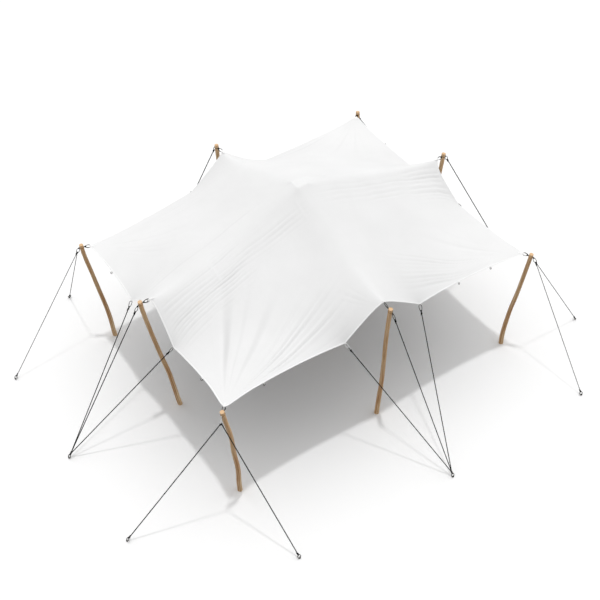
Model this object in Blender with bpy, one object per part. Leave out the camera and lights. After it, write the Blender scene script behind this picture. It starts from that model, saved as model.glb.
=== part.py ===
"""A stretch tent: a white fabric canopy on nine crooked wooden poles, with guy ropes and stakes.

Metres, +Z up. The origin is under the centre pole, on the ground. The long front side faces -Y and
the left side faces -X. The canopy's shape comes from a net of taut threads in balance: each thread
pulls in proportion to its length, the hem pulls harder, and so do the four ridges that run from the
centre peak to the middle of each side.
"""

import math
from typing import NamedTuple

import bmesh
import bpy
import numpy as np
from mathutils import Quaternion, Vector

# Gap left between pieces that touch
GAP = 0.0003

# Canopy
CANOPY_THICKNESS = 0.006
NET_CELLS_X = 32
NET_CELLS_Y = 26
# Number of net cells from a mid-side peak to the low points beside it
LOW_POINT_CELLS = 4
CROWN_HEIGHT = 3.66
# The centre pole leans a little, from the origin to here
CROWN_CENTRE = (-0.08, 0.0)
# The flat patch at the peak reaches this far from its centre, one net cell
CROWN_REACH = 0.10
FIELD_TENSION = 1.0
HEM_TENSION = 60.0
RIDGE_TENSION_LEFT = 15.0
RIDGE_TENSION_RIGHT = 60.0
RIDGE_TENSION_FRONT = 15.0
RIDGE_TENSION_BACK = 20.0
# How many net cells wide a ridge's pull is
RIDGE_SPREAD = 1.2

# Edge poles: radii at the foot and the head, and the share of the way up where the taper ends
FOOT_RADIUS = 0.042
HEAD_RADIUS = 0.036
TAPER_END = 0.625
POLE_SIDES = 12
POLE_RINGS = 14
# Centre pole: shares of the way up, with the radius there
CENTRE_POLE_SHAPE = ((0.0, 0.048), (0.35, 0.046), (0.75, 0.042), (1.0, 0.042))
CENTRE_POLE_SIDES = 16

# Round head that carries the peak, and its outline from the bottom up, in shares of both sizes
HEAD_DISC_RADIUS = 0.092
HEAD_DISC_HEIGHT = 0.075
HEAD_DISC_OUTLINE = ((0.62, 0.0), (0.84, 0.35), (0.967, 0.70), (0.957, 0.89), (0.85, 1.0))
HEAD_DISC_SIDES = 24

# Steel fittings
STRAP_DROP = 0.055
STRAP_WIRE = 0.0035
LINK_WIRE = 0.005
LINK_WIDE = 0.032
LINK_NARROW = 0.012
LINK_LENGTH = 0.125
# Links lie level unless they are turned round their own length by these degrees
INNER_LINK_TURNS = {
    "front": 90.0,
    "left": 40.0,
    "back_left": 40.0,
    "back": 32.0,
    "right": -40.0,
    "front_right": -40.0,
}
EDGE_LINK_TURNS = {"front_left": 75.0}
# From the pole's surface to the middle of the link's wire
LINK_STAND_OFF = LINK_WIRE + 0.0015
WIRE_SIDES = 6
# The wires are swept six-sided, so their flat sides lie this much nearer than their corners
WIRE_FLAT = math.cos(math.pi / WIRE_SIDES)
LINK_STEPS = 14

# Ropes and stakes
ROPE_RADIUS = 0.007
ROPE_SIDES = 8
KNOT_RADIUS = 0.015
KNOT_LENGTH = 0.04
# Outline of the knot that joins three ropes: shares of its length, with shares of its radius
KNOT_OUTLINE = ((0.0, 0.7), (0.3, 1.0), (0.7, 1.0), (1.0, 0.6))
STAKE_RING_RADIUS = 0.029
STAKE_RING_WIRE = 0.006
STAKE_RING_HEIGHT = 0.042
STAKE_RING_STEPS = 12
STAKE_SHANK_RADIUS = 0.010
STAKE_SHANK_SIDES = 10
# How far the shank leans for each metre of height, its lowest top, and how deep it sits in the ring
STAKE_LEAN = 0.35
STAKE_LOWEST_TOP = 0.012
STAKE_SHANK_DEPTH = 0.004

UP = Vector((0.0, 0.0, 1.0))
EAST = Vector((1.0, 0.0, 0.0))


class Pole(NamedTuple):
    """One edge pole: its foot on the ground, the middle of its cut head, and the canopy's point.

    bends holds (share of the way up, metres sideways), and bend_heading is the compass direction of
    the bends in degrees from +X.
    """

    foot: tuple
    head: tuple
    canopy_point: tuple
    bend_heading: float
    bends: tuple


POLES = {
    "front_left": Pole(
        foot=(-2.82, -2.18),
        head=(-3.16, -2.36, 2.31),
        canopy_point=(-3.045, -2.24, 2.25),
        bend_heading=-36.0,
        bends=((0.10, 0.012), (0.30, 0.045), (0.50, 0.038), (0.72, 0.048), (0.88, 0.018)),
    ),
    "left": Pole(
        foot=(-2.64, -0.03),
        head=(-3.16, -0.04, 2.74),
        canopy_point=(-2.975, -0.025, 2.68),
        bend_heading=-36.0,
        bends=((0.08, 0.002), (0.20, 0.013), (0.33, 0.021), (0.50, 0.001), (0.70, -0.011), (0.90, -0.012)),
    ),
    "back_left": Pole(
        foot=(-2.73, 2.10),
        head=(-3.03, 2.27, 2.21),
        canopy_point=(-2.88, 2.215, 2.15),
        bend_heading=-36.0,
        bends=((0.08, 0.010), (0.20, 0.027), (0.33, 0.032), (0.50, 0.019), (0.72, 0.004), (0.90, -0.010)),
    ),
    "back": Pole(
        foot=(-0.02, 2.20),
        head=(-0.05, 2.59, 2.845),
        canopy_point=(-0.041, 2.413, 2.80),
        bend_heading=20.0,
        bends=((0.15, 0.016), (0.35, 0.026), (0.60, 0.004), (0.82, -0.010)),
    ),
    "back_right": Pole(
        foot=(2.78, 2.16),
        head=(3.05, 2.45, 2.38),
        canopy_point=(2.945, 2.359, 2.35),
        bend_heading=-40.0,
        bends=((0.15, -0.018), (0.35, -0.034), (0.60, -0.016), (0.85, 0.008)),
    ),
    "right": Pole(
        foot=(2.66, 0.02),
        head=(3.14, 0.08, 2.79),
        canopy_point=(2.981, 0.050, 2.752),
        bend_heading=75.0,
        bends=((0.15, 0.014), (0.38, 0.028), (0.62, 0.010), (0.85, -0.008)),
    ),
    "front_right": Pole(
        foot=(2.88, -2.17),
        head=(3.03, -2.39, 2.23),
        canopy_point=(2.973, -2.240, 2.170),
        bend_heading=-36.0,
        bends=((0.08, -0.022), (0.20, -0.037), (0.40, -0.038), (0.55, -0.018), (0.75, -0.007), (0.90, -0.002)),
    ),
    "front": Pole(
        foot=(0.00, -2.17),
        head=(-0.12, -2.48, 2.79),
        canopy_point=(-0.075, -2.255, 2.74),
        bend_heading=-36.0,
        bends=((0.14, 0.005), (0.27, 0.011), (0.40, 0.010), (0.60, -0.002), (0.80, -0.011), (0.92, -0.007)),
    ),
}

# The canopy's low edge points, beside each mid-side peak
LOW_POINTS = {
    "left_front": (-2.977, -0.654, 2.122),
    "left_back": (-2.977, 0.654, 2.122),
    "right_front": (3.000, -0.560, 2.130),
    "right_back": (3.020, 0.620, 2.130),
    "front_left": (-0.759, -2.187, 2.172),
    "front_right": (0.759, -2.187, 2.172),
    "back_left": (-0.720, 2.420, 2.200),
    "back_right": (0.700, 2.420, 2.200),
}

# The stakes of each corner pole's two ropes, and the one stake of each mid-side pole
CORNER_STAKES = {
    "front_left": ((-4.79, -1.99), (-2.80, -3.80)),
    "front_right": ((4.40, -2.52), (3.15, -3.92)),
    "back_left": ((-4.69, 2.15), (-2.95, 3.45)),
    "back_right": ((4.35, 1.60), (2.97, 3.72)),
}
SIDE_STAKES = {
    "left": (-4.755, 0.013),
    "right": (4.72, 0.06),
    "front": (0.157, -3.98),
    "back": (-0.06, 4.15),
}

# The two low points beside each mid-side pole, in the order of growing x or y
SIDE_LOW_POINTS = {
    "left": ("left_front", "left_back"),
    "right": ("right_front", "right_back"),
    "front": ("front_left", "front_right"),
    "back": ("back_left", "back_right"),
}

# Colours (linear RGB), roughness and metallic value of each material
FINISHES = {
    "canopy": ((0.86, 0.86, 0.86), 0.75, 0.0),
    "pole": ((0.39, 0.24, 0.13), 0.70, 0.0),
    "rubber": ((0.03, 0.03, 0.03), 0.80, 0.0),
    "steel": ((0.42, 0.42, 0.40), 0.35, 1.0),
    "rope": ((0.035, 0.035, 0.035), 0.90, 0.0),
    "stake": ((0.16, 0.15, 0.13), 0.50, 1.0),
}


def clear_scene():
    """Remove every object that is in the file when the script starts."""
    for obj in list(bpy.data.objects):
        bpy.data.objects.remove(obj, do_unlink=True)


def make_material(name, finish):
    """Return a Principled material named name in the colour of finish."""
    colour, roughness, metallic = FINISHES[finish]
    material = bpy.data.materials.new(name)
    material.use_nodes = True
    shader = material.node_tree.nodes["Principled BSDF"]
    shader.inputs["Base Color"].default_value = (*colour, 1.0)
    shader.inputs["Roughness"].default_value = roughness
    shader.inputs["Metallic"].default_value = metallic
    return material


def add_object(name, mesh_data, finish, smooth_angle=40.0):
    """Add the bmesh mesh_data to the scene as the named object, smooth shaded, and return it."""
    bmesh.ops.recalc_face_normals(mesh_data, faces=mesh_data.faces)
    mesh = bpy.data.meshes.new(name)
    mesh_data.to_mesh(mesh)
    mesh_data.free()
    mesh.shade_smooth()
    mesh.set_sharp_from_angle(angle=math.radians(smooth_angle))
    mesh.materials.append(make_material(name, finish))
    obj = bpy.data.objects.new(name, mesh)
    bpy.context.scene.collection.objects.link(obj)
    return obj


def frame_around(direction, side):
    """Return two unit vectors square to direction, the first as near to side as can be."""
    along = Vector(direction).normalized()
    first = Vector(side) - along * Vector(side).dot(along)
    first.normalize()
    return first, along.cross(first)


def add_ring(mesh_data, centre, first, second, radius, sides):
    """Add one round ring of vertices to mesh_data and return them."""
    ring = []
    for k in range(sides):
        angle = 2.0 * math.pi * k / sides
        offset = first * math.cos(angle) + second * math.sin(angle)
        ring.append(mesh_data.verts.new(centre + offset * radius))
    return ring


def bridge(mesh_data, ring_a, ring_b):
    """Join two rings of the same size with faces."""
    count = len(ring_a)
    for k in range(count):
        after = (k + 1) % count
        mesh_data.faces.new((ring_a[k], ring_a[after], ring_b[after], ring_b[k]))


def swept_tube(points, radii, sides, side=EAST, closed=False, side_vectors=None):
    """Return a bmesh tube through points, closed on itself or with flat ends."""
    mesh_data = bmesh.new()
    count = len(points)
    rings = []
    for k, point in enumerate(points):
        before = points[k - 1] if closed else points[max(k - 1, 0)]
        after = points[(k + 1) % count] if closed else points[min(k + 1, count - 1)]
        wanted = side_vectors[k] if side_vectors else side
        first, second = frame_around(after - before, wanted)
        rings.append(add_ring(mesh_data, point, first, second, radii[k], sides))
    for k in range(count if closed else count - 1):
        bridge(mesh_data, rings[k], rings[(k + 1) % count])
    if not closed:
        mesh_data.faces.new(rings[0])
        mesh_data.faces.new(rings[-1])
    return mesh_data


def smooth_value(knots, share):
    """Return a smooth curve's value at share, through knots of (share, value) in order."""
    last = len(knots) - 2
    part = 0
    while part < last and share > knots[part + 1][0]:
        part += 1
    around = [knots[min(max(part + k, 0), len(knots) - 1)] for k in (-1, 0, 1, 2)]
    start, end = around[1], around[2]
    width = end[0] - start[0]
    t = (share - start[0]) / width
    slope_in = (end[1] - around[0][1]) / max(end[0] - around[0][0], width) * width
    slope_out = (around[3][1] - start[1]) / max(around[3][0] - start[0], width) * width
    cubic = 2.0 * t**3 - 3.0 * t**2
    return (
        (cubic + 1.0) * start[1] + (t**3 - 2.0 * t**2 + t) * slope_in - cubic * end[1] + (t**3 - t**2) * slope_out
    )


def pole_point(pole, share):
    """Return the middle of a pole's section at this share of the way up."""
    foot = Vector((*pole.foot, 0.0))
    heading = math.radians(pole.bend_heading)
    knots = ((0.0, 0.0), *pole.bends, (1.0, 0.0))
    sideways = Vector((math.cos(heading), math.sin(heading), 0.0)) * smooth_value(knots, share)
    return foot.lerp(Vector(pole.head), share) + sideways


def level_foot(mesh_data, sides):
    """Cut the tube's lowest ring, of this many sides, level with the ground."""
    mesh_data.verts.ensure_lookup_table()
    for vert in mesh_data.verts[:sides]:
        vert.co.z = 0.0


def build_pole(name, pole):
    """Make one crooked edge pole with a level foot and a square-cut head."""
    shares = [k / (POLE_RINGS - 1) for k in range(POLE_RINGS)]
    points = [pole_point(pole, share) for share in shares]
    radii = [FOOT_RADIUS + (HEAD_RADIUS - FOOT_RADIUS) * min(share / TAPER_END, 1.0) for share in shares]
    mesh_data = swept_tube(points, radii, POLE_SIDES)
    level_foot(mesh_data, POLE_SIDES)
    add_object("pole_" + name, mesh_data, "pole")


def turned(profile, sides, centre):
    """Return a solid turned round the vertical through centre, from (radius, height) points."""
    mesh_data = bmesh.new()
    north = UP.cross(EAST)
    rings = [add_ring(mesh_data, Vector((*centre, z)), EAST, north, r, sides) for r, z in profile]
    for lower, upper in zip(rings, rings[1:]):
        bridge(mesh_data, lower, upper)
    mesh_data.faces.new(rings[0])
    mesh_data.faces.new(rings[-1])
    return mesh_data


def build_centre_pole():
    """Make the centre pole and the round head that the canopy's peak rests on."""
    underside = CROWN_HEIGHT - CANOPY_THICKNESS / 2.0
    head_top = underside - GAP
    head_base = head_top - HEAD_DISC_HEIGHT
    neck = head_base - GAP
    foot, top = Vector((0.0, 0.0, 0.0)), Vector((*CROWN_CENTRE, neck))
    points = [foot.lerp(top, share) for share, _ in CENTRE_POLE_SHAPE]
    radii = [radius for _, radius in CENTRE_POLE_SHAPE]
    mesh_data = swept_tube(points, radii, CENTRE_POLE_SIDES)
    level_foot(mesh_data, CENTRE_POLE_SIDES)
    for vert in mesh_data.verts[-CENTRE_POLE_SIDES:]:
        vert.co.z = neck
    add_object("pole_centre", mesh_data, "pole")
    outline = [(HEAD_DISC_RADIUS * r, head_base + HEAD_DISC_HEIGHT * z) for r, z in HEAD_DISC_OUTLINE]
    add_object("pole_centre_head", turned(outline, HEAD_DISC_SIDES, CROWN_CENTRE), "rubber")


def net_anchors():
    """Return the net's fixed places: (column, row) to a point in space."""
    far_x, far_y = NET_CELLS_X, NET_CELLS_Y
    mid_x, mid_y = far_x // 2, far_y // 2
    places = {
        (0, 0): "front_left",
        (far_x, 0): "front_right",
        (0, far_y): "back_left",
        (far_x, far_y): "back_right",
        (0, mid_y): "left",
        (far_x, mid_y): "right",
        (mid_x, 0): "front",
        (mid_x, far_y): "back",
    }
    anchors = {place: POLES[name].canopy_point for place, name in places.items()}
    for name in SIDE_LOW_POINTS:
        column, row = next(place for place, pole in places.items() if pole == name)
        for sign, low in zip((-1, 1), SIDE_LOW_POINTS[name]):
            step = sign * LOW_POINT_CELLS
            shifted = (column, row + step) if name in ("left", "right") else (column + step, row)
            anchors[shifted] = LOW_POINTS[low]
    for column in (-1, 0, 1):
        for row in (-1, 0, 1):
            x = CROWN_CENTRE[0] + column * CROWN_REACH
            y = CROWN_CENTRE[1] + row * CROWN_REACH
            anchors[(mid_x + column, mid_y + row)] = (x, y, CROWN_HEIGHT)
    return anchors


def thread_tension(column, row, along_x):
    """Return how hard the net's thread pulls that starts at (column, row)."""
    mid_x, mid_y = NET_CELLS_X // 2, NET_CELLS_Y // 2
    if along_x:
        ridge = RIDGE_TENSION_LEFT if column < mid_x else RIDGE_TENSION_RIGHT
        off_ridge, on_hem = row - mid_y, row in (0, NET_CELLS_Y)
    else:
        ridge = RIDGE_TENSION_FRONT if row < mid_y else RIDGE_TENSION_BACK
        off_ridge, on_hem = column - mid_x, column in (0, NET_CELLS_X)
    hem = HEM_TENSION if on_hem else 0.0
    return FIELD_TENSION + hem + ridge * math.exp(-((off_ridge / RIDGE_SPREAD) ** 2))


def solve_net():
    """Return the net's points in balance, as an array of columns, rows and coordinates."""
    columns, rows = NET_CELLS_X + 1, NET_CELLS_Y + 1
    pull = np.zeros((columns * rows, columns * rows))
    for column in range(columns):
        for row in range(rows):
            here = column * rows + row
            links = [(column < NET_CELLS_X, here + rows, True), (row < NET_CELLS_Y, here + 1, False)]
            for exists, there, along_x in links:
                if not exists:
                    continue
                tension = thread_tension(column, row, along_x)
                pull[here, here] += tension
                pull[there, there] += tension
                pull[here, there] -= tension
                pull[there, here] -= tension
    anchors = net_anchors()
    fixed = [column * rows + row for column, row in anchors]
    free = sorted(set(range(columns * rows)) - set(fixed))
    points = np.zeros((columns * rows, 3))
    points[fixed] = np.array(list(anchors.values()))
    load = -pull[np.ix_(free, fixed)] @ points[fixed]
    points[free] = np.linalg.solve(pull[np.ix_(free, free)], load)
    return points.reshape(columns, rows, 3)


def net_normals(points):
    """Return the unit normal at each point of the net, pointing up."""
    along_x = np.gradient(points, axis=0)
    along_y = np.gradient(points, axis=1)
    normals = np.cross(along_x, along_y)
    return normals / np.linalg.norm(normals, axis=2, keepdims=True)


NET_POINTS = solve_net()


def build_canopy():
    """Make the canopy as one thin closed sheet around the net."""
    points = NET_POINTS
    lift = net_normals(points) * CANOPY_THICKNESS / 2.0
    mesh_data = bmesh.new()
    columns, rows = points.shape[:2]
    layers = []
    for sheet in (points + lift, points - lift):
        layers.append([[mesh_data.verts.new(sheet[i, j]) for j in range(rows)] for i in range(columns)])
    for layer in layers:
        for i in range(columns - 1):
            for j in range(rows - 1):
                mesh_data.faces.new((layer[i][j], layer[i + 1][j], layer[i + 1][j + 1], layer[i][j + 1]))
    top, bottom = layers
    rim = [(i, 0) for i in range(columns)] + [(columns - 1, j) for j in range(1, rows)]
    rim += [(i, rows - 1) for i in range(columns - 2, -1, -1)] + [(0, j) for j in range(rows - 2, 0, -1)]
    for (i, j), (p, q) in zip(rim, rim[1:] + rim[:1]):
        mesh_data.faces.new((top[i][j], top[p][q], bottom[p][q], bottom[i][j]))
    add_object("canopy", mesh_data, "canopy", smooth_angle=60.0)


def circle_points(centre, first, second, radius, count):
    """Return count points on a circle in the plane of the unit vectors first and second."""
    angles = [2.0 * math.pi * k / count for k in range(count)]
    return [centre + (first * math.cos(a) + second * math.sin(a)) * radius for a in angles]


def wire_loop(points, radius, normal):
    """Return a bmesh of a closed flat loop of wire, whose plane faces along normal."""
    return swept_tube(points, [radius] * len(points), WIRE_SIDES, closed=True, side_vectors=[normal] * len(points))


def level_side(pull, turn=0.0):
    """Return a level direction square to pull, turned round pull by turn degrees."""
    return Quaternion(pull, math.radians(turn)) @ pull.cross(UP)


def link_outline(start, end, side):
    """Return the middle line of a pear-shaped link from start to end, and its plane's normal.

    start and end are the middles of the wire at the link's narrow and wide ends.
    """
    along = (end - start).normalized()
    across, _ = frame_around(along, side)
    middle, half = (start + end) / 2.0, (end - start).length / 2.0
    points = []
    for k in range(LINK_STEPS):
        angle = 2.0 * math.pi * k / LINK_STEPS
        lengthways = math.cos(angle)
        width = LINK_NARROW + (LINK_WIDE - LINK_NARROW) * (lengthways + 1.0) / 2.0
        shift = along * half * lengthways + across * width * math.sin(angle)
        points.append(middle + shift)
    return points, along.cross(across)


def wire_link(start, end, side):
    """Return a bmesh of a closed pear-shaped link of steel wire."""
    points, normal = link_outline(start, end, side)
    return wire_loop(points, LINK_WIRE, normal)


def join_solids(base, others):
    """Join other solids to the object base with exact unions, and remove the others."""
    for other in others:
        union = base.modifiers.new("union", "BOOLEAN")
        union.operation = "UNION"
        union.solver = "EXACT"
        union.object = other
        depsgraph = bpy.context.evaluated_depsgraph_get()
        joined = bpy.data.meshes.new_from_object(base.evaluated_get(depsgraph))
        base.modifiers.clear()
        base.data = joined
        bpy.data.objects.remove(other, do_unlink=True)


def strap_middle(pole):
    """Return where the strap sits on the pole's middle line, and the pole's direction there."""
    axis = (Vector(pole.head) - pole_point(pole, 1.0 - 1.0 / (POLE_RINGS - 1))).normalized()
    return Vector(pole.head) - axis * STRAP_DROP, axis


def strap_reach(pole, towards):
    """Return where a link's wire hooks the strap, on the side of the point towards."""
    centre, axis = strap_middle(pole)
    away = towards - centre
    away -= axis * away.dot(axis)
    return centre + away.normalized() * (HEAD_RADIUS + LINK_STAND_OFF)


def stake_centre(stake):
    """Return the middle of a stake's ring."""
    return Vector((*stake, STAKE_RING_HEIGHT))


def corner_pulls(name, start):
    """Return the unit directions of a corner pole's two ropes, from start to the stakes."""
    return [(stake_centre(stake) - start).normalized() for stake in CORNER_STAKES[name]]


def outer_link_ends(name):
    """Return the middles of the wire at the upper and the lower end of a pole's outer link."""
    pole = POLES[name]
    strap, _ = strap_middle(pole)
    if name in CORNER_STAKES:
        first, second = corner_pulls(name, strap)
        direction = (first + second).normalized()
        start = strap_reach(pole, strap + direction)
    else:
        stake = stake_centre(SIDE_STAKES[name])
        start = strap_reach(pole, Vector((stake.x, stake.y, strap.z)))
        direction = (stake - start).normalized()
    return start, start + direction * LINK_LENGTH


def corner_rope_starts(name):
    """Return where a corner pole's two ropes start, side by side at the outer link's lower end."""
    _, end = outer_link_ends(name)
    first, second = corner_pulls(name, end)
    ahead, aside = (first + second).normalized(), (first - second).normalized()
    lean = first.angle(ahead)
    apart = ROPE_RADIUS * math.cos(lean) + GAP / 2.0
    reach = (LINK_WIRE + GAP - apart * math.sin(lean)) / math.cos(lean)
    return [end + ahead * reach + aside * apart, end + ahead * reach - aside * apart]


def build_head_fitting(name):
    """Make the strap round a pole's head with its inner and outer links as one steel piece."""
    pole = POLES[name]
    centre, axis = strap_middle(pole)
    first, second = frame_around(axis, EAST)
    reach = HEAD_RADIUS + (GAP + STRAP_WIRE) / math.cos(math.pi / POLE_SIDES)
    hoop = circle_points(centre, first, second, reach, POLE_SIDES)
    strap = add_object("head_fitting_" + name, wire_loop(hoop, STRAP_WIRE, axis), "steel")
    tip = Vector(pole.canopy_point)
    inner_start = strap_reach(pole, tip)
    pull = (tip - inner_start).normalized()
    inner_end = tip - pull * rim_reach(pole.canopy_point, pull)
    side = level_side(pull, INNER_LINK_TURNS.get(name, 0.0))
    inner = add_object("inner_link_" + name, wire_link(inner_start, inner_end, side), "steel")
    outer = add_object("outer_link_" + name, wire_link(*outer_link_ends(name), UP), "steel")
    join_solids(strap, [inner, outer])


def rim_reach(anchor, pull):
    """Return how far the middle of a link's wire lies from a held point of the canopy, along pull."""
    place = next(place for place, point in net_anchors().items() if point == anchor)
    normal = Vector(net_normals(NET_POINTS)[place])
    return abs(normal.dot(pull)) * CANOPY_THICKNESS / 2.0 + LINK_WIRE * WIRE_FLAT + GAP


def build_edge_link(name, stake):
    """Make the link between a low edge point and its rope, and return its narrow lower end."""
    low = Vector(LOW_POINTS[name])
    pull = (stake_centre(stake) - low).normalized()
    start = low + pull * rim_reach(LOW_POINTS[name], pull)
    end = start + pull * LINK_LENGTH
    side = level_side(pull, EDGE_LINK_TURNS.get(name, 0.0))
    add_object("edge_link_" + name, wire_link(end, start, side), "steel")
    return end


def rope_mesh(start, end):
    """Return a taut rope's straight tube from start to end."""
    return swept_tube([start, end], [ROPE_RADIUS] * 2, ROPE_SIDES, side=UP)


def build_stake(name, stake, rope_from):
    """Make a stake's ring head and the short shank that shows above the ground."""
    centre = stake_centre(stake)
    pull = (rope_from - centre).normalized()
    across, _ = frame_around(pull, pull.cross(UP))
    normal = pull.cross(across)
    hoop = circle_points(centre, pull, across, STAKE_RING_RADIUS, STAKE_RING_STEPS)
    ring = add_object("stake_" + name, wire_loop(hoop, STAKE_RING_WIRE, normal), "stake")
    top = centre - pull * STAKE_RING_RADIUS
    top.z = max(top.z, STAKE_LOWEST_TOP)
    away = Vector((-pull.x, -pull.y, 0.0)).normalized()
    foot = Vector((top.x, top.y, 0.0)) - away * STAKE_LEAN * top.z
    head = top + (top - foot).normalized() * STAKE_SHANK_DEPTH
    shank_data = swept_tube([foot, head], [STAKE_SHANK_RADIUS] * 2, STAKE_SHANK_SIDES)
    level_foot(shank_data, STAKE_SHANK_SIDES)
    shank = add_object("shank", shank_data, "stake")
    join_solids(ring, [shank])


def rope_end_at_stake(stake, rope_from):
    """Return where a rope that comes from rope_from ends, on the near side of the stake's ring."""
    centre = stake_centre(stake)
    reach = STAKE_RING_RADIUS + STAKE_RING_WIRE * WIRE_FLAT + GAP
    return centre + (rope_from - centre).normalized() * reach


def build_corner_ropes(name):
    """Make a corner pole's two ropes and their stakes."""
    for label, stake, rope_start in zip(("end", "side"), CORNER_STAKES[name], corner_rope_starts(name)):
        rope_end = rope_end_at_stake(stake, rope_start)
        suffix = name + "_" + label
        add_object("guy_rope_" + suffix, rope_mesh(rope_start, rope_end), "rope")
        build_stake(suffix, stake, rope_start)


def build_side_ropes(name):
    """Make a mid-side stake's three ropes as one piece, and the stake."""
    stake = SIDE_STAKES[name]
    _, outer_end = outer_link_ends(name)
    tops = [outer_end]
    tops += [build_edge_link(low, stake) for low in SIDE_LOW_POINTS[name]]
    knot_foot = rope_end_at_stake(stake, tops[0])
    up_rope = (tops[0] - knot_foot).normalized()
    knot_points = [knot_foot + up_rope * KNOT_LENGTH * share for share, _ in KNOT_OUTLINE]
    knot_radii = [KNOT_RADIUS * share for _, share in KNOT_OUTLINE]
    ropes = add_object("guy_ropes_" + name, swept_tube(knot_points, knot_radii, ROPE_SIDES), "rope")
    knot_middle = knot_foot + up_rope * KNOT_LENGTH * 0.5
    strands = []
    for top in tops:
        rope_start = top + (knot_middle - top).normalized() * (LINK_WIRE * WIRE_FLAT + GAP)
        strands.append(add_object("strand", rope_mesh(rope_start, knot_middle), "rope"))
    join_solids(ropes, strands)
    build_stake(name, stake, tops[0])


def main():
    """Build the whole tent."""
    clear_scene()
    build_canopy()
    build_centre_pole()
    for name, pole in POLES.items():
        build_pole(name, pole)
        build_head_fitting(name)
    for name in CORNER_STAKES:
        build_corner_ropes(name)
    for name in SIDE_STAKES:
        build_side_ropes(name)


main()
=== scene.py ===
"""Looks of a pitched stretch tent: canopy, poles, steel links, guy ropes, stakes, floor and light.

Everything is in metres with +Z up. The front long side faces -Y and the left side faces -X. The shapes
repeat the driving sizes of the solids, so each piece lies where its solid lies.
"""

import logging
import math
from dataclasses import dataclass, field
from enum import Enum

import bpy
import numpy as np
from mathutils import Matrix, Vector


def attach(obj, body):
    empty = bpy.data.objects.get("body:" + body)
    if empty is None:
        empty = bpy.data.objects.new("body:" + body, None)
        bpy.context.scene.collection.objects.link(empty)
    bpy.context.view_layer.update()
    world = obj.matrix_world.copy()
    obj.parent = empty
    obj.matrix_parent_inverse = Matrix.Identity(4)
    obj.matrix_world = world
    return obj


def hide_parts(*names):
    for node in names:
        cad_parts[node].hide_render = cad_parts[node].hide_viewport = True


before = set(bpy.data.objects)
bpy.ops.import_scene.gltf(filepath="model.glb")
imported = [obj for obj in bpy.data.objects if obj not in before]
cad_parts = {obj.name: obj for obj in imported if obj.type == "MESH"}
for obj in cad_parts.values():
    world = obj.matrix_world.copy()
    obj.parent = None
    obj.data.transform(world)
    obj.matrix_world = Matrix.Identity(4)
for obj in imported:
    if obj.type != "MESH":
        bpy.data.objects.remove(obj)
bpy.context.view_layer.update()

BODY = "root"
UP = np.array((0.0, 0.0, 1.0))
# Sizes of the solids: the gap between seated pieces, the links' wire, the cloth, the stake rings' height
GAP = 0.0003
LINK_WIRE = 0.005
CLOTH = 0.006
RING_HEIGHT = 0.042
# Edges that turn more than these degrees stay sharp on sewn pieces and on ropes
SEWN_EDGE = 60.0
ROPE_EDGE = 70.0
# Sides of the thin cords' and knots' sections
CORD_SIDES = 8

log = logging.getLogger("stretch_tent")

Array = np.ndarray
Colour = tuple[float, float, float, float]
Point = tuple[float, float, float]
Flat = tuple[float, float]


class Slot(Enum):
    """The record's material slots."""

    CANOPY = "canopy_fabric"
    POLE = "pole_wood"
    HEAD = "head_rubber"
    LINK = "link_steel"
    ROPE = "guy_rope"
    STAKE = "stake_steel"


# Numbers


def linear(hex_colour: str) -> Colour:
    """Turn an sRGB hex colour into linear light.

    Args:
        hex_colour: The colour as six hex digits after a hash sign.

    Returns:
        Red, green, blue and an alpha of one.
    """
    parts = [int(hex_colour[k : k + 2], 16) / 255.0 for k in (1, 3, 5)]
    light = [c / 12.92 if c <= 0.04045 else ((c + 0.055) / 1.055) ** 2.4 for c in parts]
    return (light[0], light[1], light[2], 1.0)


def unit(vector: Array) -> Array:
    """Return the vector at length one."""
    return vector / np.linalg.norm(vector)


def ease(share: Array) -> Array:
    """Return share clipped to 0..1 and eased at both ends."""
    held = np.clip(share, 0.0, 1.0)
    return held * held * (3.0 - 2.0 * held)


def between(value: Array, start: float, end: float) -> Array:
    """Return how far value has come from start to end, from 0 to 1 and eased."""
    return ease((value - start) / (end - start))


def chance(cell: Array, seed: float) -> Array:
    """Return a repeatable value from -1 to 1 for each whole number.

    Args:
        cell: Whole numbers.
        seed: Picks one of many rows of values.

    Returns:
        One value for each cell.
    """
    # Any large uneven factors mix the numbers well, as long as they stay the same
    mixed = np.sin(cell * 12.9898 + seed * 78.233) * 43758.5453
    return (mixed - np.floor(mixed)) * 2.0 - 1.0


def ripple(place: Array, seed: float) -> Array:
    """Return smooth unrepeating ripples along a line.

    Args:
        place: Positions, with about one ripple to a unit.
        seed: Picks the ripples.

    Returns:
        Heights from -1 to 1.
    """
    cell = np.floor(place)
    part = ease(place - cell)
    return chance(cell, seed) * (1.0 - part) + chance(cell + 1.0, seed) * part


def patches(x: Array, y: Array, seed: float) -> Array:
    """Return smooth unrepeating patches over a plane.

    Args:
        x: Positions across, with about one patch to a unit.
        y: Positions along.
        seed: Picks the patches.

    Returns:
        Heights from -1 to 1.
    """
    row = np.floor(y)
    part = ease(y - row)
    low = ripple(x + row * 17.0, seed)
    high = ripple(x + (row + 1.0) * 17.0, seed)
    return low * (1.0 - part) + high * part


def level_side(pull: Array, turn: float) -> Array:
    """Return a level direction square to pull, turned round pull.

    Args:
        pull: A unit direction.
        turn: Degrees.

    Returns:
        The direction, not at length one.
    """
    level = np.cross(pull, UP)
    return level * math.cos(math.radians(turn)) + np.cross(pull, level) * math.sin(math.radians(turn))


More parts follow.
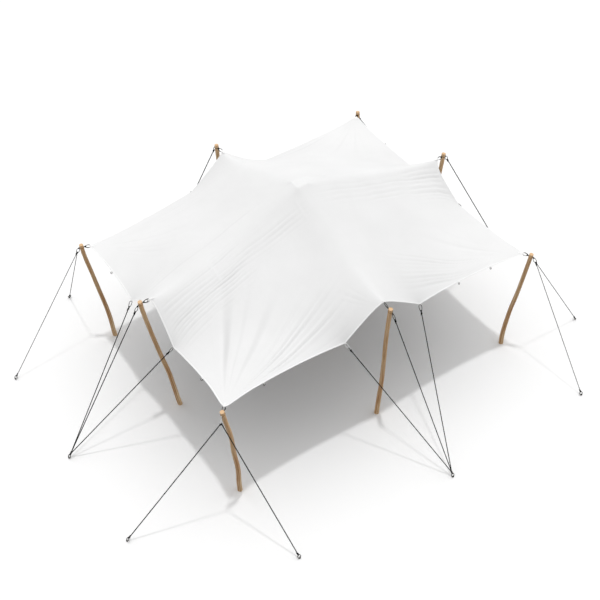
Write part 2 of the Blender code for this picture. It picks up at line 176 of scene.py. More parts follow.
def smooth_value(knots: tuple[Flat, ...], share: float) -> float:
    """Return a smooth curve's value, as the solids' poles use it.

    Args:
        knots: Places and values in order.
        share: The place that is asked for.

    Returns:
        The value there.
    """
    last = len(knots) - 2
    part = 0
    while part < last and share > knots[part + 1][0]:
        part += 1
    around = [knots[min(max(part + k, 0), len(knots) - 1)] for k in (-1, 0, 1, 2)]
    start, end = around[1], around[2]
    width = end[0] - start[0]
    t = (share - start[0]) / width
    slope_in = (end[1] - around[0][1]) / max(end[0] - around[0][0], width) * width
    slope_out = (around[3][1] - start[1]) / max(around[3][0] - start[0], width) * width
    cubic = 2.0 * t**3 - 3.0 * t**2
    rest = t**3 - t**2
    return (cubic + 1.0) * start[1] + (rest - t**2 + t) * slope_in - cubic * end[1] + rest * slope_out


# Shapes


@dataclass
class Shape:
    """Points and faces on their way to a mesh.

    The grain gives each point its place on the material in metres: round it, along it and outwards.
    """

    points: Array
    faces: list[tuple[int, ...]]
    grain: Array
    finish: int = 0

    def turned_over(self) -> "Shape":
        """Return the shape with its faces the other way round."""
        return Shape(self.points, [face[::-1] for face in self.faces], self.grain, self.finish)


def loft(count: int, sides: int, closed: bool = False) -> list[tuple[int, ...]]:
    """Return the faces between rings of points.

    Args:
        count: Number of rings.
        sides: Points in a ring.
        closed: Whether the last ring joins the first.

    Returns:
        One face for each side of each step.
    """
    faces = []
    for k in range(count if closed else count - 1):
        here, there = k * sides, (k + 1) % count * sides
        for j in range(sides):
            after = (j + 1) % sides
            faces.append((here + j, here + after, there + after, there + j))
    return faces


def grid_faces(rows: int, columns: int) -> list[tuple[int, ...]]:
    """Return one face for each square of a grid of points.

    Args:
        rows: Rows of points.
        columns: Columns of points.

    Returns:
        The faces, row by row.
    """
    index = np.arange(rows * columns).reshape(rows, columns)
    corners = (index[:-1, :-1], index[1:, :-1], index[1:, 1:], index[:-1, 1:])
    return [tuple(face) for face in np.stack([c.ravel() for c in corners], axis=1).tolist()]


def border(rows: int, columns: int) -> list[tuple[int, int]]:
    """Return the places round a grid's edge.

    Args:
        rows: Rows of points.
        columns: Columns of points.

    Returns:
        Row and column of each place, along the first row, down the last column and back round.
    """
    order = [(0, j) for j in range(columns)] + [(i, columns - 1) for i in range(1, rows)]
    order += [(rows - 1, j) for j in range(columns - 2, -1, -1)]
    return order + [(i, 0) for i in range(rows - 2, 0, -1)]


def circle(centre: Array, first: Array, second: Array, radius: float, count: int) -> Array:
    """Return points round a circle.

    Args:
        centre: The circle's middle.
        first: The unit direction of the first point.
        second: A unit direction square to it.
        radius: The circle's radius.
        count: Number of points.

    Returns:
        The points.
    """
    turn = 2.0 * math.pi * np.arange(count)[:, None] / count
    return centre + (first * np.cos(turn) + second * np.sin(turn)) * radius


def surface_normals(points: Array) -> Array:
    """Return the upward unit normal at each point of a net."""
    normals = np.cross(np.gradient(points, axis=0), np.gradient(points, axis=1))
    return normals / np.linalg.norm(normals, axis=2, keepdims=True)


def side_frames(path: Array, side: Array, closed: bool) -> tuple[Array, Array]:
    """Carry a sideways direction along a path without twisting it.

    Args:
        path: The path's points.
        side: The wanted sideways direction at the start.
        closed: Whether the path's end joins its start.

    Returns:
        Two unit directions square to the path at each point.
    """
    if closed:
        heading = np.roll(path, -1, axis=0) - np.roll(path, 1, axis=0)
    else:
        heading = np.gradient(path, axis=0)
    heading /= np.linalg.norm(heading, axis=1, keepdims=True)
    first = np.zeros_like(path)
    carried = side
    for k, along in enumerate(heading):
        carried = unit(carried - along * (carried @ along))
        first[k] = carried
    return first, np.cross(heading, first)


def tube(
    path: Array,
    radius: float | Array,
    sides: int,
    side: Point = (0.31, 0.42, 0.85),
    closed: bool = False,
    twist: float = 0.0,
    lobes: int = 0,
    lobe_depth: float = 0.0,
    finish: int = 0,
) -> Shape:
    """Sweep a round or lobed section along a path.

    Args:
        path: The middle line's points.
        radius: The section's radius, one or one for each point.
        sides: Points round the section.
        side: A direction that the first point of each section looks to.
        closed: Whether the tube joins itself.
        twist: Turns to a metre.
        lobes: Number of strands that bulge out of the section.
        lobe_depth: How deep the valleys between strands are, as a share of the radius.
        finish: The finish's number on the piece.

    Returns:
        The tube, with flat ends if it is open.
    """
    count = len(path)
    first, second = side_frames(path, np.array(side, float), closed)
    radii = np.broadcast_to(np.asarray(radius, float), (count,))
    steps = np.linalg.norm(np.diff(path, axis=0), axis=1)
    along = np.concatenate(([0.0], np.cumsum(steps)))
    turn = 2.0 * math.pi * np.arange(sides) / sides
    valley = 1.0 - lobe_depth * (0.5 + 0.5 * np.cos(lobes * turn)) if lobes else np.ones(sides)
    angle = turn[None, :] + 2.0 * math.pi * twist * along[:, None]
    reach = radii[:, None] * valley[None, :]
    out = np.cos(angle)[..., None] * first[:, None] + np.sin(angle)[..., None] * second[:, None]
    points = (path[:, None] + out * reach[..., None]).reshape(-1, 3)
    grain = np.zeros((count, sides, 3))
    grain[..., 0] = reach * np.cos(turn)
    grain[..., 1] = reach * np.sin(turn)
    grain[..., 2] = along[:, None]
    faces = loft(count, sides, closed)
    if not closed:
        faces.append(tuple(range(sides - 1, -1, -1)))
        faces.append(tuple(range((count - 1) * sides, count * sides)))
    return Shape(points, faces, grain.reshape(-1, 3), finish)


def shell(grid: Array, thickness: float, finish: int = 0) -> Shape:
    """Give a grid of points a thickness, with rounded rims.

    Args:
        grid: Points in rows and columns.
        thickness: How thick the shell is.
        finish: The finish's number on the piece.

    Returns:
        A closed shell round the grid.
    """
    rows, columns = grid.shape[:2]
    lift = surface_normals(grid) * thickness / 2.0
    total = rows * columns
    top = grid_faces(rows, columns)
    faces = top + [tuple(total + k for k in face[::-1]) for face in top]
    rim = [i * columns + j for i, j in border(rows, columns)]
    faces += [(here, after, total + after, total + here) for here, after in zip(rim, rim[1:] + rim[:1])]
    steps_i = np.linalg.norm(np.diff(grid, axis=0), axis=2).mean(axis=1)
    steps_j = np.linalg.norm(np.diff(grid, axis=1), axis=2).mean(axis=0)
    grain = np.zeros((rows, columns, 3))
    grain[..., 2] = np.concatenate(([0.0], np.cumsum(steps_i)))[:, None]
    grain[..., 0] = np.concatenate(([0.0], np.cumsum(steps_j)))[None, :]
    points = np.concatenate(((grid + lift).reshape(-1, 3), (grid - lift).reshape(-1, 3)))
    return Shape(points, faces, np.concatenate([grain.reshape(-1, 3)] * 2), finish)


def bight(knot: Array, wire: Array, normal: Array, cord: float, wire_radius: float) -> Shape:
    """Return the loop of cord that passes from a knot round a wire and back.

    Args:
        knot: Where both legs enter the knot.
        wire: The middle of the wire that it goes round.
        normal: The direction in which the legs stand side by side.
        cord: The cord's radius.
        wire_radius: The wire's radius.

    Returns:
        The loop.
    """
    along = unit(wire - knot)
    beside = unit(normal - along * (normal @ along))
    reach, apart = cord + wire_radius * 1.08, cord * 0.9
    length = float(np.linalg.norm(wire - knot))
    legs = [(share, apart + (reach - apart) * min(share * 1.2, 1.0)) for share in (0.0, 0.4, 0.75)]
    path = [knot + along * length * share + beside * off for share, off in legs]
    for turn in range(90, -91, -30):
        angle = math.radians(turn)
        path.append(wire + (along * math.cos(angle) + beside * math.sin(angle)) * reach)
    path += [knot + along * length * share - beside * off for share, off in reversed(legs)]
    return tube(np.array(path), cord, CORD_SIDES, side=tuple(np.cross(along, beside)))


def make_piece(
    name: str, shapes: list[Shape], finishes: list[bpy.types.Material], slot: Slot, sharp: float = 50.0
) -> bpy.types.Object:
    """Turn shapes into one smooth shaded piece that rides on the tent.

    Args:
        name: The piece's name.
        shapes: Its shapes.
        finishes: Its materials, in the order of the shapes' finish numbers.
        slot: The record's slot that it belongs to; not used.
        sharp: Edges that turn more than this many degrees stay sharp.

    Returns:
        The piece.
    """
    starts = np.cumsum([0] + [len(shape.points) for shape in shapes])
    points = np.concatenate([shape.points for shape in shapes])
    placed = zip(shapes, starts)
    faces = [tuple(int(i + start) for i in face) for shape, start in placed for face in shape.faces]
    mesh = bpy.data.meshes.new(name)
    mesh.from_pydata(points.tolist(), [], faces)
    grain = mesh.attributes.new("grain", "FLOAT_VECTOR", "POINT")
    grain.data.foreach_set("vector", np.concatenate([shape.grain for shape in shapes]).ravel())
    for finish in finishes:
        mesh.materials.append(finish)
    numbers = [shape.finish for shape in shapes for _ in shape.faces]
    mesh.polygons.foreach_set("material_index", numbers)
    mesh.shade_smooth()
    mesh.set_sharp_from_angle(angle=math.radians(sharp))
    mesh.update()
    piece = bpy.data.objects.new(name, mesh)
    bpy.context.scene.collection.objects.link(piece)
    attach(piece, BODY)
    log.info("%s: %d points, %d faces", name, len(points), len(faces))
    return piece


# Materials


def add_node(
    tree: bpy.types.NodeTree, kind: str, settings: dict | None = None, links: dict | None = None
) -> bpy.types.Node:
    """Add one node with its settings and incoming links.

    Args:
        tree: The material's nodes.
        kind: The node's type name.
        settings: Values for the node's own fields, or for its sockets by name or number.
        links: Outputs to join, by the name or number of the socket that they feed.

    Returns:
        The node.
    """
    node = tree.nodes.new(kind)
    for key, value in (settings or {}).items():
        if isinstance(key, str) and hasattr(node, key):
            setattr(node, key, value)
        else:
            node.inputs[key].default_value = value
    for key, output in (links or {}).items():
        tree.links.new(output, node.inputs[key])
    return node


class Kind(Enum):
    """The patterns that a finish can have: each one's node and the node's own settings."""

    NOISE = ("ShaderNodeTexNoise", {})
    BANDS_ACROSS = ("ShaderNodeTexWave", {"wave_type": "BANDS", "bands_direction": "X"})
    BANDS_ALONG = ("ShaderNodeTexWave", {"wave_type": "BANDS", "bands_direction": "Z"})
    RINGS = ("ShaderNodeTexWave", {"wave_type": "RINGS", "rings_direction": "Z"})


@dataclass(frozen=True)
class Pattern:
    """One pattern in a finish's grain, and what it does to the colour, gloss and relief.

    The sizes are in millimetres round, along and outwards, or nought where the pattern doesn't change.
    The tint holds the places and colours of a dark and a light stop, the gloss the least and greatest
    roughness, and the relief a strength and a depth in metres. A later tint multiplies the ones before
    it by its blend.
    """

    kind: Kind
    sizes_mm: Point
    settings: dict = field(default_factory=dict)
    tint: tuple[tuple[float, str], ...] = ()
    blend: float = 1.0
    gloss: tuple[float, ...] = ()
    relief: tuple[float, ...] = ()

    def scale(self) -> Point:
        """Return the units to a metre, as noise has one cell to a unit and a wave about three bands."""
        count = 1000.0 if self.kind is Kind.NOISE else 1000.0 / 3.0
        return tuple(count / size if size else 0.0 for size in self.sizes_mm)


@dataclass(frozen=True)
class Finish:
    """What each material starts from."""

    name: str
    colour: str
    roughness: float = 0.6
    metallic: float = 0.0
    ior: float = 1.5
    specular: float = 0.5
    sheen: float = 0.0
    patterns: tuple[Pattern, ...] = ()
    # Noise keeps to the middle of its range, so the gloss is spread over that
    noise_range: Flat = (0.3, 0.7)

    def place(self, tree: bpy.types.NodeTree, scale: Point) -> bpy.types.NodeSocket:
        """Return the grain place times scale.

        Args:
            tree: The material's nodes.
            scale: Units to a metre round, along and outwards.

        Returns:
            The output with the scaled place.
        """
        grain = add_node(tree, "ShaderNodeAttribute", {"attribute_name": "grain"})
        scaled = add_node(
            tree, "ShaderNodeVectorMath", {"operation": "MULTIPLY", 1: scale}, {0: grain.outputs["Vector"]}
        )
        return scaled.outputs["Vector"]

    def more_shades(self, tree: bpy.types.NodeTree) -> list[tuple[bpy.types.NodeSocket, float]]:
        """Return the shades over the patterns' own with their blends, none for most finishes."""
        return []

    def make(self) -> bpy.types.Material:
        """Make the material: one shader with the effect of each pattern.

        Returns:
            The material.
        """
        material = bpy.data.materials.new(self.name)
        material.use_nodes = True
        tree = material.node_tree
        shader = tree.nodes["Principled BSDF"]
        shader.inputs["Base Color"].default_value = linear(self.colour)
        shader.inputs["Roughness"].default_value = self.roughness
        shader.inputs["Metallic"].default_value = self.metallic
        shader.inputs["IOR"].default_value = self.ior
        shader.inputs["Specular IOR Level"].default_value = self.specular
        shader.inputs["Sheen Weight"].default_value = self.sheen
        colour = normal = None
        shades = []
        for pattern in self.patterns:
            kind, own = pattern.kind.value
            settings = {**own, "Scale": 1.0, **pattern.settings}
            place = self.place(tree, pattern.scale())
            value = add_node(tree, kind, settings, {"Vector": place}).outputs["Fac"]
            if pattern.tint:
                ramp = add_node(tree, "ShaderNodeValToRGB", {}, {"Fac": value})
                for stop, (position, shade) in zip(ramp.color_ramp.elements, pattern.tint):
                    stop.position, stop.color = position, linear(shade)
                shades.append((ramp.outputs["Color"], pattern.blend))
            if pattern.gloss:
                names = ("From Min", "From Max", "To Min", "To Max")
                ends = dict(zip(names, (*self.noise_range, *pattern.gloss)))
                gloss = add_node(tree, "ShaderNodeMapRange", ends, {"Value": value})
                tree.links.new(gloss.outputs["Result"], shader.inputs["Roughness"])
            if pattern.relief:
                links = {"Height": value, "Normal": normal} if normal else {"Height": value}
                relief = dict(zip(("Strength", "Distance"), pattern.relief))
                normal = add_node(tree, "ShaderNodeBump", relief, links).outputs["Normal"]
        for shade, blend in shades + self.more_shades(tree):
            if colour:
                mix = {"data_type": "RGBA", "blend_type": "MULTIPLY", "Factor": blend}
                shade = add_node(tree, "ShaderNodeMix", mix, {6: colour, 7: shade}).outputs[2]
            colour = shade
        for socket, output in (("Base Color", colour), ("Normal", normal)):
            if output:
                tree.links.new(output, shader.inputs[socket])
        return material


@dataclass(frozen=True)
class StretchKnit(Finish):
    """Warp-knitted polyester and elastane with a waterproof coating, tensioned: soft matte white."""

    name: str = "coated_stretch_knit"
    colour: str = "#EAEAE9"
    roughness: float = 0.68
    sheen: float = 0.08
    # Painted shade in the valleys between creases: their share of the crests' brightness, 10 mm down
    painted_crease_shade: float = 0.82
    patterns: tuple[Pattern, ...] = (
        # Faint tonal clouds, some 900 mm wide
        Pattern(
            Kind.NOISE,
            (909.09, 909.09, 0.0),
            {"Detail": 4.0, "Roughness": 0.55},
            tint=((0.3, "#EBEBEB"), (0.7, "#F0F0F0")),
        ),
        # The real knit's ribs are 0.6 mm apart, drawn at 7 mm so that a close view still shows them
        Pattern(Kind.BANDS_ACROSS, (7.0, 70.0, 333.3), {"Distortion": 0.6}, relief=(0.12, 0.0006)),
        # Small creases, some 110 mm wide
        Pattern(Kind.NOISE, (111.11, 111.11, 0.0), {"Detail": 3.0}, relief=(0.35, 0.006)),
    )

    def more_shades(self, tree: bpy.types.NodeTree) -> list[tuple[bpy.types.NodeSocket, float]]:
        """Paint shade into the folds' valleys.

        Args:
            tree: The material's nodes.

        Returns:
            One painted shade, dark in the valleys, with its blend.
        """
        depth = add_node(tree, "ShaderNodeSeparateXYZ", {}, {0: self.place(tree, (1.0, 1.0, 1.0))})
        ends = {"From Min": -1.0, "From Max": 0.0, "To Min": self.painted_crease_shade, "To Max": 1.0}
        shade = add_node(tree, "ShaderNodeMapRange", ends, {"Value": depth.outputs["Z"]})
        return [(shade.outputs["Result"], 1.0)]


@dataclass(frozen=True)
class StitchedHem(Finish):
    """The same knit folded twice over a webbing and sewn down, with stitch dimples: its whiter colour is a
    painted highlight along the edge.
    """

    name: str = "folded_stitched_hem"
    # Whiter than the knit: a painted highlight along the rounded edge
    colour: str = "#F5F5F5"
    sheen: float = 0.08
    patterns: tuple[Pattern, ...] = (
        # Stitches are 4 mm long in the real hem, drawn at 9 mm so that they show
        Pattern(Kind.BANDS_ALONG, (0.0, 0.0, 9.0), relief=(0.3, 0.0012)),
        # Puckers between them, some 25 by 40 mm
        Pattern(Kind.NOISE, (25.0, 25.0, 38.46), relief=(0.5, 0.003)),
    )


@dataclass(frozen=True)
class PolyesterWebbing(Finish):
    """Woven polyester webbing, slightly shiny across its ribs."""

    name: str = "woven_polyester_webbing"
    colour: str = "#DCDCDA"
    roughness: float = 0.55
    patterns: tuple[Pattern, ...] = (
        # Weft ribs of 2 mm
        Pattern(
            Kind.BANDS_ALONG,
            (0.0, 0.0, 2.0),
            tint=((0.0, "#EFEFEE"), (1.0, "#FFFFFF")),
            relief=(0.5, 0.0008),
        ),
    )


@dataclass(frozen=True)
class PeeledGumPole(Finish):
    """Peeled and oiled eucalyptus: warm brown with dark lengthwise streaks and small scars."""

    name: str = "peeled_oiled_eucalyptus"
    colour: str = "#A98055"
    roughness: float = 0.55
    patterns: tuple[Pattern, ...] = (
        # Streaks are 4 to 8 mm wide, drawn at 11 mm so that they show, and some 650 mm long
        Pattern(
            Kind.NOISE,
            (11.0, 11.0, 650.0),
            {"Detail": 5.0, "Roughness": 0.6, "Distortion": 0.4},
            tint=((0.36, "#C99B69"), (0.62, "#FFE7BE")),
            relief=(0.45, 0.0015),
        ),
        # Weather stains over them, some 700 mm long
        Pattern(
            Kind.NOISE,
            (55.56, 55.56, 714.3),
            {"Detail": 3.0},
            tint=((0.35, "#C69F74"), (0.65, "#FFFFFF")),
            blend=0.75,
        ),
    )


@dataclass(frozen=True)
class SawnEndGrain(Finish):
    """The poles' sawn ends: pale tan growth rings round a darker heart."""

    name: str = "sawn_end_grain"
    colour: str = "#E3BC8D"
    roughness: float = 0.75
    patterns: tuple[Pattern, ...] = (
        # Growth rings are 3 to 5 mm apart
        Pattern(
            Kind.RINGS,
            (4.5, 4.5, 0.0),
            {"Distortion": 1.2, "Detail": 2.0},
            tint=((0.0, "#D8AF82"), (1.0, "#EAC79E")),
            relief=(0.2, 0.0006),
        ),
    )


@dataclass(frozen=True)
class GalvanisedWire(Finish):
    """Hot-dip galvanised steel wire: pale grey metal, mottled in colour and gloss by its zinc skin."""

    name: str = "galvanised_steel_wire"
    colour: str = "#C4C5C4"
    roughness: float = 0.42
    metallic: float = 0.25
    patterns: tuple[Pattern, ...] = (
        # Spangles of 6 mm
        Pattern(
            Kind.NOISE,
            (6.0, 6.0, 6.0),
            {"Detail": 3.0},
            tint=((0.35, "#D6D7D6"), (0.65, "#FAFAFA")),
            gloss=(0.32, 0.55),
        ),
    )


@dataclass(frozen=True)
class BlackenedWire(Finish):
    """Oil-blackened steel wire of the links, with a patchy gloss."""

    name: str = "blackened_steel_wire"
    colour: str = "#474640"
    roughness: float = 0.5
    metallic: float = 1.0
    patterns: tuple[Pattern, ...] = (
        # Worn patches, some 7 mm wide and 17 mm long
        Pattern(Kind.NOISE, (6.667, 6.667, 16.67), gloss=(0.4, 0.65)),
    )


@dataclass(frozen=True)
class BlackenedFerrule(BlackenedWire):
    """Pressed steel ferrules with a thick black oxide: darker and duller than the wire."""

    name: str = "black_oxide_ferrule"
    colour: str = "#1E1D1B"
    roughness: float = 0.6


@dataclass(frozen=True)
class BronzeWire(BlackenedWire):
    """Annealed bronze binding wire, which tans to nearly the wood's own colour."""

    name: str = "annealed_bronze_wire"
    colour: str = "#A5794A"
    roughness: float = 0.45


@dataclass(frozen=True)
class LaidRope(Finish):
    """Three-strand polypropylene rope: black, with slightly lighter worn fibres."""

    name: str = "laid_polypropylene_rope"
    colour: str = "#2A2A2B"
    roughness: float = 0.8
    specular: float = 0.15
    patterns: tuple[Pattern, ...] = (
        # Yarns in a strand are 1.5 mm thick and show for 18 mm
        Pattern(
            Kind.NOISE,
            (1.5, 1.5, 18.0),
            tint=((0.4, "#0A0A0B"), (0.75, "#1A1A1C")),
            relief=(0.6, 0.0008),
        ),
    )


@dataclass(frozen=True)
class ForgedStake(Finish):
    """Forged steel: dark mill scale with lighter rubbed patches."""

    name: str = "forged_steel_stake"
    colour: str = "#56534B"
    roughness: float = 0.5
    metallic: float = 0.9
    patterns: tuple[Pattern, ...] = (
        # Patches of scale, some 11 mm wide
        Pattern(
            Kind.NOISE,
            (11.11, 11.11, 11.11),
            {"Detail": 4.0},
            tint=((0.4, "#1F1D1A"), (0.68, "#4A473F")),
            relief=(0.3, 0.0006),
        ),
    )


@dataclass(frozen=True)
class MouldedRubber(Finish):
    """Moulded black rubber of the centre pole's head: dull, with a fine skin."""

    name: str = "moulded_black_rubber"
    colour: str = "#222222"
    roughness: float = 0.75
    patterns: tuple[Pattern, ...] = (
        # The skin's grain of 2.5 mm
        Pattern(Kind.NOISE, (2.5, 2.5, 2.5), relief=(0.3, 0.0005)),
    )


@dataclass(frozen=True)
class PaintedFloor(Finish):
    """A matte white painted studio floor, plain and without any gloss."""

    name: str = "matte_white_floor"
    colour: str = "#FCFCFC"
    roughness: float = 0.9
    specular: float = 0.0


# Layout


@dataclass(frozen=True)
class PolePlace:
    """Where an edge pole stands: its foot, head and the canopy's point, and its natural bends."""

    foot: Flat
    head: Point
    canopy_point: Point
    bend_heading: float
    bends: tuple[Flat, ...]


POLES = {
    "front_left": PolePlace(
        (-2.82, -2.18),
        (-3.16, -2.36, 2.31),
        (-3.045, -2.24, 2.25),
        -36.0,
        ((0.10, 0.012), (0.30, 0.045), (0.50, 0.038), (0.72, 0.048), (0.88, 0.018)),
    ),
    "left": PolePlace(
        (-2.64, -0.03),
        (-3.16, -0.04, 2.74),
        (-2.975, -0.025, 2.68),
        -36.0,
        ((0.08, 0.002), (0.20, 0.013), (0.33, 0.021), (0.50, 0.001), (0.70, -0.011), (0.90, -0.012)),
    ),
    "back_left": PolePlace(
        (-2.73, 2.10),
        (-3.03, 2.27, 2.21),
        (-2.88, 2.215, 2.15),
        -36.0,
        ((0.08, 0.010), (0.20, 0.027), (0.33, 0.032), (0.50, 0.019), (0.72, 0.004), (0.90, -0.010)),
    ),
    "back": PolePlace(
        (-0.02, 2.20),
        (-0.05, 2.59, 2.845),
        (-0.041, 2.413, 2.80),
        20.0,
        ((0.15, 0.016), (0.35, 0.026), (0.60, 0.004), (0.82, -0.010)),
    ),
    "back_right": PolePlace(
        (2.78, 2.16),
        (3.05, 2.45, 2.38),
        (2.945, 2.359, 2.35),
        -40.0,
        ((0.15, -0.018), (0.35, -0.034), (0.60, -0.016), (0.85, 0.008)),
    ),
    "right": PolePlace(
        (2.66, 0.02),
        (3.14, 0.08, 2.79),
        (2.981, 0.050, 2.752),
        75.0,
        ((0.15, 0.014), (0.38, 0.028), (0.62, 0.010), (0.85, -0.008)),
    ),
    "front_right": PolePlace(
        (2.88, -2.17),
        (3.03, -2.39, 2.23),
        (2.973, -2.240, 2.170),
        -36.0,
        ((0.08, -0.022), (0.20, -0.037), (0.40, -0.038), (0.55, -0.018), (0.75, -0.007), (0.90, -0.002)),
    ),
    "front": PolePlace(
        (0.00, -2.17),
        (-0.12, -2.48, 2.79),
        (-0.075, -2.255, 2.74),
        -36.0,
        ((0.14, 0.005), (0.27, 0.011), (0.40, 0.010), (0.60, -0.002), (0.80, -0.011), (0.92, -0.007)),
    ),
}

LOW_POINTS = {
    "left_front": (-2.977, -0.654, 2.122),
    "left_back": (-2.977, 0.654, 2.122),
    "right_front": (3.000, -0.560, 2.130),
    "right_back": (3.020, 0.620, 2.130),
    "front_left": (-0.759, -2.187, 2.172),
    "front_right": (0.759, -2.187, 2.172),
    "back_left": (-0.720, 2.420, 2.200),
    "back_right": (0.700, 2.420, 2.200),
}

CORNER_STAKES = {
    "front_left": ((-4.79, -1.99), (-2.80, -3.80)),
    "front_right": ((4.40, -2.52), (3.15, -3.92)),
    "back_left": ((-4.69, 2.15), (-2.95, 3.45)),
    "back_right": ((4.35, 1.60), (2.97, 3.72)),
}

SIDE_STAKES = {
    "left": (-4.755, 0.013),
    "right": (4.72, 0.06),
    "front": (0.157, -3.98),
    "back": (-0.06, 4.15),
}

# Links lie level unless they are turned round their own length by these degrees
INNER_LINK_TURNS = {
    "front": 90.0,
    "left": 40.0,
    "back_left": 40.0,
    "back": 32.0,
    "right": -40.0,
    "front_right": -40.0,
}
EDGE_LINK_TURNS = {"front_left": 75.0}

# A tip whose link is turned further than this hangs in a cord instead of a webbing tab
CORD_TURN = 60.0

# The front left ropes look thickest and the other corners' thinnest
ROPE_RADII = {
    "front_left": 0.0090,
    "front_right": 0.0061,
    "back_left": 0.0060,
    "back_right": 0.0064,
    "left": 0.0086,
    "right": 0.0083,
    "front": 0.0083,
    "back": 0.0083,
}

SIDE_LOW_POINTS = {
    "left": ("left_front", "left_back"),
    "right": ("right_front", "right_back"),
    "front": ("front_left", "front_right"),
    "back": ("back_left", "back_right"),
}


# Canopy


@dataclass
class TautNet:
    """The canopy's shape: a net of threads in balance, with stronger threads in the hem and ridges."""

    cells_x: int = 32
    cells_y: int = 26
    finer: int = 10
    low_point_cells: int = 4
    crown: Point = (-0.08, 0.0, 3.66)
    crown_reach: float = 0.10
    field: float = 1.0
    hem: float = 60.0
    ridge_left: float = 15.0
    ridge_right: float = 60.0
    ridge_front: float = 15.0
    ridge_back: float = 20.0
    ridge_spread: float = 1.2
    # The net is at rest when a step is this small: the coarse one's and the fine one's, in metres
    rests_at: Flat = (1e-7, 2e-6)
    most_steps: int = 3000

    def held_places(self, finer: int) -> dict[str, tuple[int, int]]:
        """Return where in the net the links hold it.

        Args:
            finer: How many fine cells one cell has.

        Returns:
            Column and row, by the pole's name or by low_ and the low point's name.
        """
        far_x, far_y = self.cells_x * finer, self.cells_y * finer
        mid_x, mid_y = far_x // 2, far_y // 2
        step = self.low_point_cells * finer
        return {
            "front_left": (0, 0),
            "front_right": (far_x, 0),
            "back_left": (0, far_y),
            "back_right": (far_x, far_y),
            "left": (0, mid_y),
            "right": (far_x, mid_y),
            "front": (mid_x, 0),
            "back": (mid_x, far_y),
            "low_left_front": (0, mid_y - step),
            "low_left_back": (0, mid_y + step),
            "low_right_front": (far_x, mid_y - step),
            "low_right_back": (far_x, mid_y + step),
            "low_front_left": (mid_x - step, 0),
            "low_front_right": (mid_x + step, 0),
            "low_back_left": (mid_x - step, far_y),
            "low_back_right": (mid_x + step, far_y),
        }

    def anchors(self, finer: int) -> dict[tuple[int, int], Point]:
        """Return the net's fixed places.

        Args:
            finer: How many fine cells one cell has.

        Returns:
            Column and row to a point in space.
        """
        points = {name: pole.canopy_point for name, pole in POLES.items()}
        points.update({"low_" + name: point for name, point in LOW_POINTS.items()})
        held = {place: points[name] for name, place in self.held_places(finer).items()}
        mid_x, mid_y = self.cells_x * finer // 2, self.cells_y * finer // 2
        for column in range(-finer, finer + 1):
            for row in range(-finer, finer + 1):
                x = self.crown[0] + self.crown_reach * column / finer
                y = self.crown[1] + self.crown_reach * row / finer
                held[(mid_x + column, mid_y + row)] = (x, y, self.crown[2])
        return held

    def pulls(self, finer: int) -> tuple[Array, Array]:
        """Return how hard each thread pulls.

        Args:
            finer: How many fine cells one cell has.

        Returns:
            The pulls of the threads along X and along Y.
        """
        columns, rows = self.cells_x * finer + 1, self.cells_y * finer + 1
        mid_x, mid_y = columns // 2, rows // 2
        column, row = np.arange(columns)[:, None], np.arange(rows)[None, :]
        edge = self.hem * finer
        near_row = np.exp(-(((row - mid_y) / finer / self.ridge_spread) ** 2))
        near_column = np.exp(-(((column - mid_x) / finer / self.ridge_spread) ** 2))
        along_x = self.field + np.where(column[:-1] < mid_x, self.ridge_left, self.ridge_right) * near_row
        along_y = self.field + np.where(row[:, :-1] < mid_y, self.ridge_front, self.ridge_back) * near_column
        along_x = along_x + np.where((row == 0) | (row == rows - 1), edge, 0.0)
        along_y = along_y + np.where((column == 0) | (column == columns - 1), edge, 0.0)
        return along_x[..., None], along_y[..., None]

    def balance(self, finer: int, guess: Array, closeness: float) -> Array:
        """Let the net come to rest.

        Args:
            finer: How many fine cells one cell has.
            guess: The points to start from.
            closeness: How small the last step has to be, in metres.

        Returns:
            The points at rest, in columns and rows.
        """
        along_x, along_y = self.pulls(finer)
        total = np.zeros((*guess.shape[:2], 1))
        total[:-1] += along_x
        total[1:] += along_x
        total[:, :-1] += along_y
        total[:, 1:] += along_y

        def force(place: Array) -> Array:
            """Return the net's pull on each point.

            Args:
                place: The points.

            Returns:
                The pull on each, along X, Y and Z.
            """
            sums = total * place
            sums[:-1] -= along_x * place[1:]
            sums[1:] -= along_x * place[:-1]
            sums[:, :-1] -= along_y * place[:, 1:]
            sums[:, 1:] -= along_y * place[:, :-1]
            return sums

        points, free = guess.copy(), np.ones_like(total)
        for (column, row), held in self.anchors(finer).items():
            points[column, row] = held
            free[column, row] = 0.0
        left = -force(points) * free
        step = left / total
        heading, worth = step.copy(), (left * step).sum()
        for _ in range(self.most_steps):
            pushed = force(heading) * free
            length = worth / (heading * pushed).sum()
            points += length * heading
            left -= length * pushed
            step = left / total
            if np.abs(step).max() < closeness:
                break
            new_worth = (left * step).sum()
            heading = step + new_worth / worth * heading
            worth = new_worth
        return points

    def spread_out(self, points: Array, finer: int) -> Array:
        """Return the net with each cell cut into finer cells.

        Args:
            points: The coarse net.
            finer: How many fine cells one cell has.

        Returns:
            The fine net, flat within each coarse cell.
        """
        columns, rows = points.shape[:2]
        x = np.linspace(0.0, columns - 1.0, (columns - 1) * finer + 1)
        y = np.linspace(0.0, rows - 1.0, (rows - 1) * finer + 1)
        i, j = np.minimum(x.astype(int), columns - 2), np.minimum(y.astype(int), rows - 2)
        part_x, part_y = (x - i)[:, None, None], (y - j)[None, :, None]
        wide = points[i] * (1.0 - part_x) + points[i + 1] * part_x
        return wide[:, j] * (1.0 - part_y) + wide[:, j + 1] * part_y

    def solve(self) -> Array:
        """Return the fine net at rest."""
        flat = np.zeros((self.cells_x + 1, self.cells_y + 1, 3))
        coarse = self.balance(1, flat, self.rests_at[0])
        return self.balance(self.finer, self.spread_out(coarse, self.finer), self.rests_at[1])


